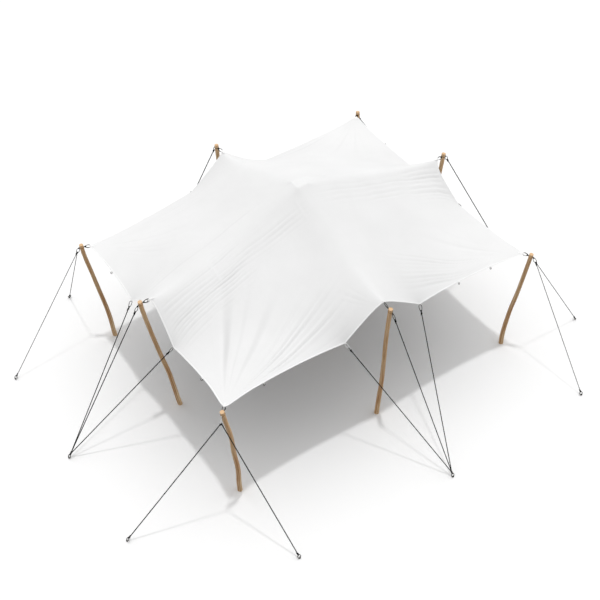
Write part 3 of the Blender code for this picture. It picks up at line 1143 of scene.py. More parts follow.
def crests(place: Array, seed: float) -> Array:
    """Return fold heights across a row of folds, unevenly spaced with crisp crests.

    Args:
        place: Places across the folds, with one fold to a unit.
        seed: Picks the folds.

    Returns:
        Heights from about -1 to 1.
    """
    shifted = place + 0.35 * ripple(place * 0.6, seed + 1.0)
    wave = np.sin(2.0 * math.pi * shifted)
    crisp = 1.0 - 2.0 * np.abs(ripple(place * 1.7, seed + 2.0))
    return 0.6 * wave * (0.65 + 0.35 * ripple(place * 0.8, seed + 3.0)) + 0.4 * crisp


@dataclass(frozen=True)
class FoldFan:
    """Folds that spread out from one point of the canopy."""

    tip: Flat
    heading: float
    spread: float
    folds: float
    near: float
    far: float
    height: float
    seed: float

    def lift(self, x: Array, y: Array) -> Array:
        """Return the folds' height at each place of the plan.

        Args:
            x: Places along X.
            y: Places along Y.

        Returns:
            One height for each place.
        """
        away_x, away_y = x - self.tip[0], y - self.tip[1]
        reach = np.hypot(away_x, away_y)
        turn = np.degrees(np.arctan2(away_y, away_x)) - self.heading
        across = ((turn + 180.0) % 360.0 - 180.0) / self.spread
        bend = 0.10 * ripple(reach * 1.6, self.seed + 9.0)
        fade = 1.0 - between(reach, self.near, self.far)
        window = np.exp(-(across**4)) * ease(reach / self.near) * fade
        strength = 0.7 + 0.3 * patches(across * self.folds * 0.5, reach * 1.8, self.seed + 4.0)
        return self.height * window * strength * crests((across + bend) * self.folds / 2.0, self.seed)


@dataclass(frozen=True)
class FoldRun:
    """Folds that run side by side from one place to another."""

    start: Flat
    end: Flat
    half_width: float
    spacing: float
    height: float
    seed: float
    lean: float = 0.0
    # The shares of the run over which the folds grow and die out
    grows: Flat = (-0.05, 0.15)
    dies_out: Flat = (0.75, 1.05)

    def lift(self, x: Array, y: Array) -> Array:
        """Return the folds' height at each place of the plan.

        Args:
            x: Places along X.
            y: Places along Y.

        Returns:
            One height for each place.
        """
        run_x, run_y = self.end[0] - self.start[0], self.end[1] - self.start[1]
        length = math.hypot(run_x, run_y)
        ahead_x, ahead_y = run_x / length, run_y / length
        away_x, away_y = x - self.start[0], y - self.start[1]
        along = away_x * ahead_x + away_y * ahead_y
        aside = away_y * ahead_x - away_x * ahead_y
        share = along / length
        fade = between(share, *self.grows) * (1.0 - between(share, *self.dies_out))
        window = np.exp(-((aside / self.half_width) ** 4)) * fade
        waver = 0.5 * ripple(along * 1.3, self.seed + 9.0) + 0.18 * ripple(along * 4.1, self.seed + 8.0)
        place = (aside + self.lean * along) / self.spacing + waver
        strength = 0.6 + 0.4 * patches(place * 0.5, along * 2.6, self.seed + 4.0)
        return self.height * window * strength * crests(place, self.seed)


FOLDS: tuple[FoldFan | FoldRun, ...] = (
    # Fine folds beside the left ridge, densest near the left pole
    FoldRun((-2.98, -0.52), (-1.30, -0.34), 0.34, 0.062, 0.0100, 3.0, 0.06),
    FoldRun((-2.30, -0.34), (-0.15, -0.36), 0.22, 0.070, 0.0055, 5.0, 0.02),
    FoldRun((-2.90, 0.40), (-0.60, 0.30), 0.20, 0.090, 0.0035, 7.0),
    # Fine folds under the right ridge
    FoldRun((3.05, -0.34), (1.90, -0.30), 0.26, 0.080, 0.0105, 11.0, -0.05),
    FoldRun((2.70, -0.32), (-0.10, -0.33), 0.22, 0.085, 0.0045, 13.0),
    FoldRun((2.85, 0.36), (0.70, 0.32), 0.20, 0.090, 0.0022, 17.0),
    # Long folds from the front corners towards the front pole
    FoldFan((-3.05, -2.24), 13.0, 11.0, 9.0, 1.2, 2.95, 0.0170, 19.0),
    FoldFan((3.00, -2.24), 167.0, 9.0, 9.0, 1.5, 2.9, 0.0115, 23.0),
    # Soft folds from the corners towards the crown
    FoldFan((-3.05, -2.24), 46.0, 18.0, 3.2, 1.1, 2.3, 0.0140, 29.0),
    FoldFan((-2.88, 2.22), -46.0, 15.0, 4.5, 0.8, 1.9, 0.0075, 31.0),
    FoldFan((3.00, -2.24), 146.0, 9.0, 2.0, 0.8, 2.0, 0.0070, 37.0),
    FoldFan((2.93, 2.38), -134.0, 17.0, 4.0, 0.8, 1.9, 0.0025, 41.0),
    # Long folds from the back corners towards the back pole
    FoldFan((-2.88, 2.22), -9.0, 9.0, 7.0, 1.4, 2.7, 0.0065, 43.0),
    FoldFan((2.93, 2.38), 188.0, 9.0, 7.0, 1.4, 2.7, 0.0065, 47.0),
    # Short folds at the mid-side peaks
    FoldFan((-0.08, -2.26), 128.0, 20.0, 5.0, 0.35, 0.9, 0.0040, 53.0),
    FoldFan((-0.05, 2.41), -60.0, 25.0, 5.0, 0.35, 0.9, 0.0040, 59.0),
)

# Short seams where two lengths of knit meet: x, the first y and the last y
SEAMS = ((-1.90, -0.02, -0.42), (-0.31, -0.22, -0.50))

# The knit's grain counts a fold's height in centimetres, which sets the knit's painted crease shade
FOLD_UNITS = 100.0


@dataclass
class Canopy:
    """The stretched membrane, its hem and the webbing tabs at its held points."""

    net: TautNet = field(default_factory=TautNet)
    hem_width: float = 0.020
    hem_thickness: float = 0.0040
    tip_radius: float = 0.080
    tip_fade: float = 0.50
    tab_half_width: float = 0.0170
    tab_thickness: float = 0.0022
    tab_length: float = 0.070
    tab_columns: int = 13
    becket_cord: float = 0.0030
    becket_reach: float = 0.032
    seam_height: float = 0.002
    seam_half_width: float = 0.022
    seam_fade: float = 0.06
    # The folds die out this many fine cells from the edge, and within this radius of the crown
    plain_cells: float = 7.0
    plain_crown: float = 0.16
    crown_fade: float = 0.2
    flat_width: float = 5.7
    flat_length: float = 4.5
    points: Array = field(init=False)
    normals: Array = field(init=False)
    webbing: bpy.types.Material = field(init=False)

    def __post_init__(self) -> None:
        """Solve the net, round its corners off and make the webbing's material."""
        self.webbing = PolyesterWebbing().make()
        self.points = self.net.solve()
        for name in CORNER_STAKES:
            self.blunt_tip(*self.held_at(name))
        self.normals = surface_normals(self.points)

    def blunt_tip(self, i: int, j: int) -> None:
        """Round a corner's tip off sideways, as the doubled cloth there spreads it.

        Args:
            i: The tip's column.
            j: The tip's row.
        """
        tip, near = self.points[i, j].copy(), 8
        beside = ((abs(i - near), j), (i, abs(j - near)))
        first, second = (unit(self.points[place] - tip) for place in beside)
        ahead, aside = unit(first + second), unit(first - second)
        slope = (first @ aside) / (first @ ahead)
        away = self.points - tip
        reach = np.maximum(np.linalg.norm(away, axis=2), 1e-6)
        tangent = self.tip_radius * (1.0 - slope / math.hypot(1.0, slope))
        beyond = self.tip_radius * (math.hypot(1.0, 1.0 / slope) - 1.0)
        arc = np.sqrt(np.maximum(self.tip_radius**2 - (self.tip_radius - reach) ** 2, 0.0))
        wide = np.where(reach < tangent, arc, (reach + beyond) * slope)
        gain = (wide / (reach * slope) - 1.0) * (1.0 - ease((reach - tangent) / self.tip_fade))
        self.points += aside * ((away @ aside) * gain)[..., None]

    def build(self) -> bpy.types.Object:
        """Make the membrane with its folds and seams.

        Returns:
            The membrane.
        """
        columns, rows = self.points.shape[:2]
        x, y = self.points[..., 0], self.points[..., 1]
        lift = sum(fold.lift(x, y) for fold in FOLDS)
        fade = self.seam_fade
        for place, first, last in SEAMS:
            beside = np.exp(-(((x - place) / self.seam_half_width) ** 2))
            within = ease((first + fade - y) / fade) * ease((y - last + fade) / fade)
            lift = lift + self.seam_height * beside * within
        across = np.minimum(np.arange(columns), columns - 1 - np.arange(columns))[:, None]
        along = np.minimum(np.arange(rows), rows - 1 - np.arange(rows))[None, :]
        lift = lift * ease(np.minimum(across, along) / self.plain_cells)
        centre = np.hypot(x - self.net.crown[0], y - self.net.crown[1])
        lift = lift * ease((centre - self.plain_crown) / self.crown_fade)
        dressed = self.points + self.normals * lift[..., None]
        width = np.linspace(0.0, self.flat_width, columns)
        length = np.linspace(0.0, self.flat_length, rows)
        grain = np.zeros((columns, rows, 3))
        grain[..., 0], grain[..., 1] = width[:, None], length[None, :]
        # The fold's height here darkens the knit's valleys as painted shade
        grain[..., 2] = lift * FOLD_UNITS
        shape = Shape(dressed.reshape(-1, 3), grid_faces(columns, rows), grain.reshape(-1, 3))
        piece = make_piece("canopy_membrane", [shape], [StretchKnit().make()], Slot.CANOPY, 180.0)
        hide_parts("canopy")
        return piece

    def rim(self) -> tuple[Array, Array, Array]:
        """Return the edge's points in order, its normals and the directions inwards.

        Returns:
            Points, unit normals and unit directions inwards, in the order of the edge.
        """
        points, normals = self.points, self.normals
        columns, rows = points.shape[:2]
        order = border(rows, columns)
        edge = np.array([points[i, j] for j, i in order])
        up = np.array([normals[i, j] for j, i in order])
        heading = np.roll(edge, -1, axis=0) - np.roll(edge, 1, axis=0)
        inwards = np.cross(up, heading)
        inwards /= np.linalg.norm(inwards, axis=1, keepdims=True)
        return edge, up, inwards

    def build_hem(self) -> bpy.types.Object:
        """Make the folded hem that wraps the canopy's edge.

        Returns:
            The hem.
        """
        edge, up, inwards = self.rim()
        wide, thick = self.hem_width, self.hem_thickness / 2.0
        section = (
            (wide, thick * 0.3),
            (wide * 0.93, thick),
            (wide * 0.10, thick * 1.15),
            (-0.0012, thick * 0.6),
            (-0.0020, 0.0),
            (-0.0012, -thick * 0.6),
            (wide * 0.10, -thick * 1.15),
            (wide * 0.93, -thick),
            (wide, -thick * 0.3),
        )
        rows = [edge + inwards * a + up * b for a, b in section]
        points = np.stack(rows, axis=1).reshape(-1, 3)
        steps = np.linalg.norm(np.roll(edge, -1, axis=0) - edge, axis=1)
        along = np.concatenate(([0.0], np.cumsum(steps[:-1])))
        grain = np.array([[a, b, z] for z in along for a, b in section])
        faces = [(a, d, c, b) for a, b, c, d in loft(len(edge), len(section), closed=True)]
        shape = Shape(points, faces, grain)
        return make_piece("canopy_hem", [shape], [StitchedHem().make()], Slot.CANOPY, SEWN_EDGE)

    def held_at(self, name: str) -> tuple[int, int]:
        """Return the fine net's column and row of a held point."""
        return self.net.held_places(self.net.finer)[name]

    def seat(self, name: str, pull: Array) -> float:
        """Return how far the middle of a link's wire lies from a held point, along pull."""
        across = abs(float(self.normals[self.held_at(name)] @ pull))
        return across * CLOTH / 2.0 + LINK_WIRE + GAP

    def into(self, name: str) -> Array:
        """Return the direction from a held point into the canopy.

        Args:
            name: The held point's name.

        Returns:
            A unit direction.
        """
        i, j = self.held_at(name)
        deep = 9
        columns, rows = self.points.shape[:2]
        inner = self.points[min(max(i, deep), columns - 1 - deep), min(max(j, deep), rows - 1 - deep)]
        return unit(inner - self.points[i, j])

    def build_tab(self, name: str, link: "WireLink") -> None:
        """Make the webbing tab that is sewn on both faces of a tip and folds round its link's wide end.

        Args:
            name: The held point's name.
            link: The link, with its wide end at the tip.
        """
        place, into = self.held_at(name), self.into(name)
        tip, up = self.points[place], self.normals[place]
        across = unit(np.cross(into, up))
        along, side = link.axes()
        side = side if side @ across > 0.0 else -side
        over = unit(np.cross(side, along))
        over = over if over @ up > 0.0 else -over
        reach = LINK_WIRE + self.tab_thickness * 0.6
        lift = up * (self.hem_thickness / 2.0 * 1.15 + self.tab_thickness * 0.6)
        rows = []
        for share in np.linspace(-1.0, 1.0, self.tab_columns):
            off = share * self.tab_half_width
            wire, flat = link.arc(off, side), tip + across * off
            row = [flat + into * self.tab_length * part - lift for part in (0.9, 0.65, 0.4, 0.2)]
            for turn in range(-90, 91, 30):
                angle = math.radians(turn)
                row.append(wire - along * reach * math.cos(angle) + over * reach * math.sin(angle))
            row += [flat + into * self.tab_length * part + lift for part in (0.2, 0.4, 0.7, 1.0)]
            rows.append(row)
        shape = shell(np.array(rows), self.tab_thickness)
        make_piece("webbing_tab_" + name, [shape], [self.webbing], Slot.CANOPY, SEWN_EDGE)

    def build_becket(self, name: str, link: "WireLink") -> None:
        """Make the short cord that is sewn in the hem and loops round its link's wide end.

        Args:
            name: The held point's name.
            link: The link, with its wide end at the held point.
        """
        into = self.into(name)
        knot = self.points[self.held_at(name)] + into * self.becket_reach
        cord = bight(knot, link.end, link.normal(), self.becket_cord, LINK_WIRE)
        make_piece("hem_becket_" + name, [cord], [self.webbing], Slot.CANOPY, SEWN_EDGE)


# Poles


@dataclass
class EdgePole:
    """One crooked peeled pole."""

    name: str
    place: PolePlace
    foot_radius: float = 0.042
    head_radius: float = 0.036
    # The pole tapers up to this share of its height
    taper_share: float = 0.625
    rings: int = 84
    sides: int = 28
    # Broad lumps and fine ones: height, how many to the radius and to a metre of length, offset and seed
    lumps: tuple[tuple[float, ...], ...] = ((0.0012, 1.6, 5.0, 5.0, 0.0), (0.0009, 3.2, 16.0, 9.0, 3.0))
    knots: int = 5
    knot_height: float = 0.0030
    knot_half_width: float = 0.014
    knot_half_length: float = 0.022
    # The strap seats on the pole's top, so this length of it has no lumps
    plain_top: float = 0.075
    top_fade: float = 0.06
    foot_fade: float = 0.05

    def middle(self, share: float) -> Array:
        """Return the middle of the pole's section at this share of the way up.

        Args:
            share: Nought at the foot and one at the head.

        Returns:
            The point.
        """
        foot = np.array((*self.place.foot, 0.0))
        heading = math.radians(self.place.bend_heading)
        aside = smooth_value(((0.0, 0.0), *self.place.bends, (1.0, 0.0)), share)
        straight = foot * (1.0 - share) + np.array(self.place.head) * share
        return straight + np.array((math.cos(heading), math.sin(heading), 0.0)) * aside

    def build(self, finishes: list[bpy.types.Material]) -> bpy.types.Object:
        """Make the pole with its scars, level foot and square-cut head.

        Args:
            finishes: The wood's side and its end grain.

        Returns:
            The pole.
        """
        seed = float(sum(map(ord, self.name)))
        shares = np.linspace(0.0, 1.0, self.rings)
        path = np.array([self.middle(share) for share in shares])
        taper = np.minimum(shares / self.taper_share, 1.0)
        radii = self.foot_radius + (self.head_radius - self.foot_radius) * taper
        shape = tube(path, radii, self.sides, side=(1.0, 0.0, 0.0))
        points = shape.points.reshape(self.rings, self.sides, 3)
        turn = 2.0 * math.pi * np.arange(self.sides) / self.sides
        height = shape.grain.reshape(self.rings, self.sides, 3)[:, :1, 2]
        swell = self.swell(turn, height, seed)
        out = points - path[:, None]
        out /= np.linalg.norm(out, axis=2, keepdims=True)
        points += out * swell[..., None]
        points[0, :, 2] = 0.0
        shape.points = points.reshape(-1, 3)
        shape.faces = shape.faces[:-2]
        head = self.cap(points[-1], path[-1], unit(path[-1] - path[-2]))
        foot = self.cap(points[0], path[0], np.zeros(3)).turned_over()
        piece = make_piece("peeled_pole_" + self.name, [shape, head, foot], finishes, Slot.POLE)
        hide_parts("pole_" + self.name)
        return piece

    def swell(self, turn: Array, height: Array, seed: float) -> Array:
        """Return how far the wood stands out in lumps and knots.

        Args:
            turn: Angles round the pole, in a row.
            height: Heights along the pole, in a column.
            seed: Picks the lumps.

        Returns:
            The height of the wood over the plain pole at each point.
        """
        total = np.zeros((len(height), len(turn)))
        round_x, round_y = np.cos(turn)[None, :], np.sin(turn)[None, :]
        for high, across, along, off, more in self.lumps:
            total += high * patches(round_x * across + off, height * along + round_y * across, seed + more)
        top = height[-1, 0]
        for k in np.arange(float(self.knots)):
            at = top * (0.5 + 0.42 * chance(k, seed + 13.0))
            away = turn - math.pi * chance(k, seed + 11.0)
            beside = np.angle(np.exp(1j * away))[None, :] * self.head_radius
            near = (beside / self.knot_half_width) ** 2 + ((height - at) / self.knot_half_length) ** 2
            total += self.knot_height * np.exp(-near)
        return total * ease((top - self.plain_top - height) / self.top_fade) * ease(height / self.foot_fade)

    def cap(self, rim: Array, middle: Array, up: Array) -> Shape:
        """Close one end with a face of end grain.

        Args:
            rim: The end ring of the pole's side.
            middle: The ring's middle.
            up: The direction that the face is raised in.

        Returns:
            The face, in rings.
        """
        # Shares of the radius and how far each ring is raised: the face is a little domed
        steps, heart = ((1.0, 0.0), (0.93, 0.0009), (0.6, 0.0011), (0.25, 0.0008)), 0.0008
        rings = [middle + (rim - middle) * share + up * rise for share, rise in steps]
        sides = len(rim)
        points = np.concatenate([*rings, [middle + up * heart]])
        faces = loft(len(rings), sides)
        last = (len(rings) - 1) * sides
        faces += [(last + j, last + (j + 1) % sides, len(points) - 1) for j in range(sides)]
        flat = circle(np.zeros(3), *np.eye(3)[:2], self.head_radius, sides)
        grain = [flat * share for share, _ in steps] + [np.zeros((1, 3))]
        return Shape(points, faces, np.concatenate(grain), 1)


@dataclass
class CentrePole:
    """The straight pole under the crown and its rounded rubber head."""

    top: Flat = (-0.08, 0.0)
    crown_height: float = 3.66
    foot_radius: float = 0.048
    neck_radius: float = 0.042
    disc_radius: float = 0.092
    disc_height: float = 0.075

    def build(self, finishes: list[bpy.types.Material]) -> bpy.types.Object:
        """Make the pole.

        Args:
            finishes: The wood's side and its end grain.

        Returns:
            The pole.
        """
        neck = self.crown_height - CLOTH / 2.0 - self.disc_height - 2.0 * GAP
        head = (*self.top, neck)
        place = PolePlace((0.0, 0.0), head, head, 90.0, ((0.3, 0.006), (0.7, -0.005)))
        pole = EdgePole("centre", place, self.foot_radius, self.neck_radius)
        return pole.build(finishes)

    def build_head(self) -> bpy.types.Object:
        """Make the rounded head that spreads the load under the canopy.

        Returns:
            The head.
        """
        top = self.crown_height - CLOTH / 2.0 - GAP
        base = top - self.disc_height
        profile = [
            (0.001, base),
            (self.disc_radius * 0.60, base),
            (self.disc_radius * 0.64, base + 0.003),
            (self.disc_radius * 0.80, base + self.disc_height * 0.30),
            (self.disc_radius * 0.93, base + self.disc_height * 0.55),
            (self.disc_radius * 0.96, top - 0.018),
            (self.disc_radius * 0.94, top - 0.008),
            (self.disc_radius * 0.86, top - 0.0012),
            (self.disc_radius * 0.80, top),
            (0.001, top),
        ]
        path = np.array([(*self.top, z + 1e-7 * k) for k, (_, z) in enumerate(profile)])
        shape = tube(path, np.array([r for r, _ in profile]), 48, side=(1.0, 0.0, 0.0))
        piece = make_piece("pole_head_rubber", [shape], [MouldedRubber().make()], Slot.HEAD, 35.0)
        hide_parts("pole_centre_head")
        return piece


# Steel


@dataclass
class WireLink:
    """A pear-shaped link of steel wire, with a ferrule crimped over its narrow start."""

    start: Array
    end: Array
    side: Array
    wire: float = LINK_WIRE
    narrow: float = 0.012
    wide: float = 0.032
    steps: int = 44
    ferrule_radius: float = 0.0098
    ferrule_span: Flat = (0.006, 0.036)
    sleeve_radius: float = 0.0075
    # The part of the wide end that a tab can wrap, from the link's end to one side
    wrapped_degrees: float = 62.0

    def axes(self) -> tuple[Array, Array]:
        """Return the link's unit directions along and across it."""
        along = unit(self.end - self.start)
        return along, unit(self.side - along * (self.side @ along))

    def at(self, turn: Array) -> Array:
        """Return the middle of the wire at these angles, in radians from the wide end.

        Args:
            turn: Angles in radians from the wide end, in a column or alone.

        Returns:
            One point for each angle.
        """
        along, across = self.axes()
        middle, half = (self.start + self.end) / 2.0, np.linalg.norm(self.end - self.start) / 2.0
        width = self.narrow + (self.wide - self.narrow) * (np.cos(turn) + 1.0) / 2.0
        return middle + along * half * np.cos(turn) + across * width * np.sin(turn)

    def normal(self) -> Array:
        """Return the direction that the link's plane faces."""
        return unit(np.cross(*self.axes()))

    def arc(self, off: float, side: Array) -> Array:
        """Return the wire's middle on the wide end, this far off the link's middle towards side.

        Args:
            off: How far off the middle, in metres.
            side: A unit direction across the link.

        Returns:
            The point.
        """
        turns = np.radians(np.linspace(0.0, self.wrapped_degrees, 32))
        reach = np.abs((self.at(turns[:, None]) - self.start) @ side)
        turn = np.interp(abs(off), reach, turns)
        _, across = self.axes()
        return self.at(math.copysign(turn, off * float(across @ side)))

    def shapes(self, finish: int = 0, sleeve: bool = False) -> list[Shape]:
        """Return the link's parts.

        Args:
            finish: The wire's finish number.
            sleeve: Whether a screw sleeve sits on one long side.

        Returns:
            The wire, its ferrule and the sleeve.
        """
        along, _ = self.axes()
        facing = tuple(self.normal())
        line = self.at(2.0 * math.pi * np.arange(self.steps)[:, None] / self.steps)
        first, last = self.ferrule_span
        places = np.linspace(first, last, 6)[:, None]
        radii = self.ferrule_radius * np.array((0.72, 1.0, 0.96, 1.0, 0.94, 0.7))
        parts = [
            tube(line, self.wire, 12, side=facing, closed=True, finish=finish),
            tube(self.start + along * places, radii, 12, side=facing, finish=1),
        ]
        if sleeve:
            part = line[self.steps // 5 : self.steps // 5 + self.steps // 6 + 1]
            parts.append(tube(part, self.sleeve_radius, 6, side=facing, finish=1))
        return parts


@dataclass
class HeadFitting:
    """The wire strap round a pole's head with its link to the canopy and its link to the ropes."""

    name: str
    place: PolePlace
    canopy: Canopy
    head_radius: float = 0.036
    strap_drop: float = 0.055
    strap_wire: float = 0.0020
    # Half the distance between the strap's two turns
    strap_apart: float = 0.0019
    strap_steps: int = 40
    loop_wire: float = 0.0042
    loop_shorter: float = 0.030
    link_stand_off: float = 0.0065
    link_length: float = 0.125
    pole_rings: int = 14

    def strap_middle(self) -> tuple[Array, Array]:
        """Return where the strap sits on the pole's middle line, and the pole's direction there.

        Returns:
            The point and the pole's unit direction.
        """
        pole = EdgePole(self.name, self.place)
        head = np.array(self.place.head)
        axis = unit(head - pole.middle(1.0 - 1.0 / (self.pole_rings - 1)))
        return head - axis * self.strap_drop, axis

    def reach(self, towards: Array) -> Array:
        """Return where a link's wire hooks the strap, on the side of the point towards.

        Args:
            towards: A point on the side that the link leaves to.

        Returns:
            The middle of the link's wire where it hooks the strap.
        """
        centre, axis = self.strap_middle()
        away = towards - centre
        away = away - axis * (away @ axis)
        return centre + unit(away) * (self.head_radius + self.link_stand_off)

    def pulls(self, start: Array) -> list[Array]:
        """Return the unit directions of a corner pole's two ropes, from start to the stakes."""
        return [unit(np.array((*stake, RING_HEIGHT)) - start) for stake in CORNER_STAKES[self.name]]

    def outer_link(self) -> WireLink:
        """Return the link that carries the ropes.

        Returns:
            The link, with its wide end at the ropes.
        """
        strap, _ = self.strap_middle()
        if self.name in CORNER_STAKES:
            first, second = self.pulls(strap)
            direction = unit(first + second)
            start = self.reach(strap + direction)
        else:
            stake = np.array((*SIDE_STAKES[self.name], RING_HEIGHT))
            start = self.reach(np.array((stake[0], stake[1], strap[2])))
            direction = unit(stake - start)
        return WireLink(start, start + direction * self.link_length, UP)

    def inner_link(self) -> WireLink:
        """Return the link that holds the canopy's tip.

        Returns:
            The link, with its wide end at the canopy's tip.
        """
        tip = np.array(self.place.canopy_point)
        start = self.reach(tip)
        pull = unit(tip - start)
        end = tip - pull * self.canopy.seat(self.name, pull)
        side = level_side(pull, INNER_LINK_TURNS.get(self.name, 0.0))
        return WireLink(start, end, side)

    def rope_starts(self, rope_radius: float) -> list[Array]:
        """Return where a corner pole's two ropes start, side by side at the outer link's wide end.

        Args:
            rope_radius: The radius by which the ropes are seated.

        Returns:
            Both starts, of the rope to the first stake and to the second.
        """
        end = self.outer_link().end
        first, second = self.pulls(end)
        ahead, aside = unit(first + second), unit(first - second)
        lean = math.acos(float(first @ ahead))
        apart = rope_radius * math.cos(lean) + GAP / 2.0
        out = (LINK_WIRE + GAP - apart * math.sin(lean)) / math.cos(lean)
        return [end + ahead * out + aside * apart, end + ahead * out - aside * apart]

    def build(self, finishes: list[bpy.types.Material]) -> None:
        """Make the strap and both links.

        Args:
            finishes: The dark wire, the ferrules' steel, the strap's bronze and the bright zinc.
        """
        centre, axis = self.strap_middle()
        first = unit(np.array((1.0, 0.0, 0.0)) - axis * axis[0])
        second = np.cross(axis, first)
        reach = self.head_radius + self.strap_wire + GAP
        finish = 1 if self.name in ("back", "right") else 2
        shapes = []
        for rise in (-self.strap_apart, self.strap_apart):
            ring = circle(centre + axis * rise, first, second, reach, self.strap_steps)
            shapes.append(tube(ring, self.strap_wire, 10, side=tuple(axis), closed=True, finish=finish))
        inner, outer = self.inner_link(), self.outer_link()
        shapes += inner.shapes(0, sleeve=True) + outer.shapes(3 if self.name == "front_left" else 0)
        if self.name == "left":
            # A thinner loop hangs in the same strap, leaning out of the link's plane
            along, across = inner.axes()
            lean = across + 0.9 * np.cross(along, across)
            extra = WireLink(inner.start, inner.end - along * self.loop_shorter, lean, self.loop_wire)
            shapes += extra.shapes(0)[:1]
        piece = make_piece("pole_head_links_" + self.name, shapes, finishes, Slot.LINK)
        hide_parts("head_fitting_" + self.name)


# Ropes


@dataclass
class RopeSpec:
    """Sizes of the three-strand rope and its knots."""

    radius: float
    lay_length: float = 0.06
    steps_to_lay: int = 6
    sides: int = 12
    wrap_radius: float = 0.0052
    # The strands stand this much out of the rope's mean radius, with valleys this deep between them
    strand_swell: float = 1.06
    valley: float = 0.22
    throat: float = 0.007

    def run(self, start: Array, end: Array) -> Shape:
        """Return a taut twisted rope from start to end.

        Args:
            start: Where it starts.
            end: Where it ends.

        Returns:
            The rope.
        """
        length = float(np.linalg.norm(end - start))
        count = max(int(length / self.lay_length * self.steps_to_lay), 4)
        share = np.linspace(0.0, 1.0, count)[:, None]
        path = start * (1.0 - share) + end * share
        radius, twist = self.radius * self.strand_swell, 1.0 / self.lay_length
        return tube(path, radius, self.sides, twist=twist, lobes=3, lobe_depth=self.valley)

    def wraps(self, start: Array, end: Array, turns: float, reach: float) -> Shape:
        """Return rope wound round a line, as in a hitch.

        Args:
            start: Where the winding starts.
            end: Where it ends.
            turns: Number of turns.
            reach: Radius of the winding's middle line.

        Returns:
            The winding.
        """
        along = unit(end - start)
        first = unit(np.cross(along, (0.2, 0.5, 0.9)))
        second = np.cross(along, first)
        share = np.linspace(0.0, 1.0, int(turns * 12))[:, None]
        turn = share * turns * 2.0 * math.pi
        swell = reach * (1.0 + 0.12 * np.sin(share * math.pi))
        path = start + (end - start) * share + (first * np.cos(turn) + second * np.sin(turn)) * swell
        return tube(path, self.wrap_radius, CORD_SIDES, side=tuple(along))

    def tie(self, wire: Array, towards: Array, normal: Array, length: float = 0.034) -> list[Shape]:
        """Return a whole knot that ties a rope to a wire.

        Args:
            wire: The middle of the wire.
            towards: Where the rope goes from there.
            normal: The direction in which the bight's legs stand side by side.
            length: How long the winding is.

        Returns:
            The bight, the winding and a short tail.
        """
        along = unit(towards - wire)
        knot = wire + along * self.throat
        reach = self.radius * 0.75 + self.wrap_radius * 0.75
        turns = length / self.wrap_radius / 2.0
        shapes = [bight(knot, wire, normal, self.wrap_radius, LINK_WIRE)]
        shapes.append(self.wraps(knot, knot + along * length, turns, reach))
        aside = unit(np.cross(along, normal))
        # The tail's points: a share of the winding's length, then how far out and on from there
        steps = ((0.85, 0.0, 0.0), (1.0, 0.004, 0.010), (1.0, 0.006, 0.024))
        tail = [knot + along * (length * part + on) + aside * (reach + out) for part, out, on in steps]
        shapes.append(tube(np.array(tail), self.wrap_radius * 0.9, CORD_SIDES))
        return shapes


@dataclass
class StakeHead:
    """A stake's ring and the short shank that shows above the ground."""

    name: str
    place: Flat
    rope_from: Array
    ring_radius: float = 0.029
    ring_wire: float = 0.006
    ring_steps: int = 36
    shank_sides: int = 20
    shank_radius: float = 0.010
    lean: float = 0.35
    lowest_top: float = 0.012

    def centre(self) -> Array:
        """Return the middle of the ring."""
        return np.array((*self.place, RING_HEIGHT))

    def pull(self) -> Array:
        """Return the direction in which the rope leaves."""
        return unit(self.rope_from - self.centre())

    def normal(self) -> Array:
        """Return the direction that the ring's plane faces."""
        pull = self.pull()
        return np.cross(pull, unit(np.cross(pull, UP)))

    def rope_wire(self) -> Array:
        """Return the middle of the ring's wire where the rope pulls on it."""
        return self.centre() + self.pull() * self.ring_radius

    def build(self, finish: bpy.types.Material) -> None:
        """Make the ring, the shank and its collar.

        Args:
            finish: The stake's steel.
        """
        pull, normal = self.pull(), self.normal()
        across = np.cross(normal, pull)
        line = circle(self.centre(), pull, across, self.ring_radius, self.ring_steps)
        ring = tube(line, self.ring_wire, 12, side=tuple(normal), closed=True)
        top = self.centre() - pull * self.ring_radius
        top[2] = max(top[2], self.lowest_top)
        away = unit(np.array((-pull[0], -pull[1], 0.0)))
        foot = np.array((top[0], top[1], 0.0)) - away * self.lean * top[2]
        rise = unit(top - foot)
        sides = self.shank_sides
        shank = tube(np.array([foot, foot * 0.4 + top * 0.6, top + rise * 0.004]), self.shank_radius, sides)
        shank.points[:sides, 2] = 0.0
        collar = tube(np.array([top - rise * 0.006, top + rise * 0.003]), self.shank_radius * 1.25, sides)
        collar.points[:, 2] = np.maximum(collar.points[:, 2], 0.0)
        piece = make_piece("stake_ring_" + self.name, [ring, shank, collar], [finish], Slot.STAKE)
        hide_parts("stake_" + self.name)


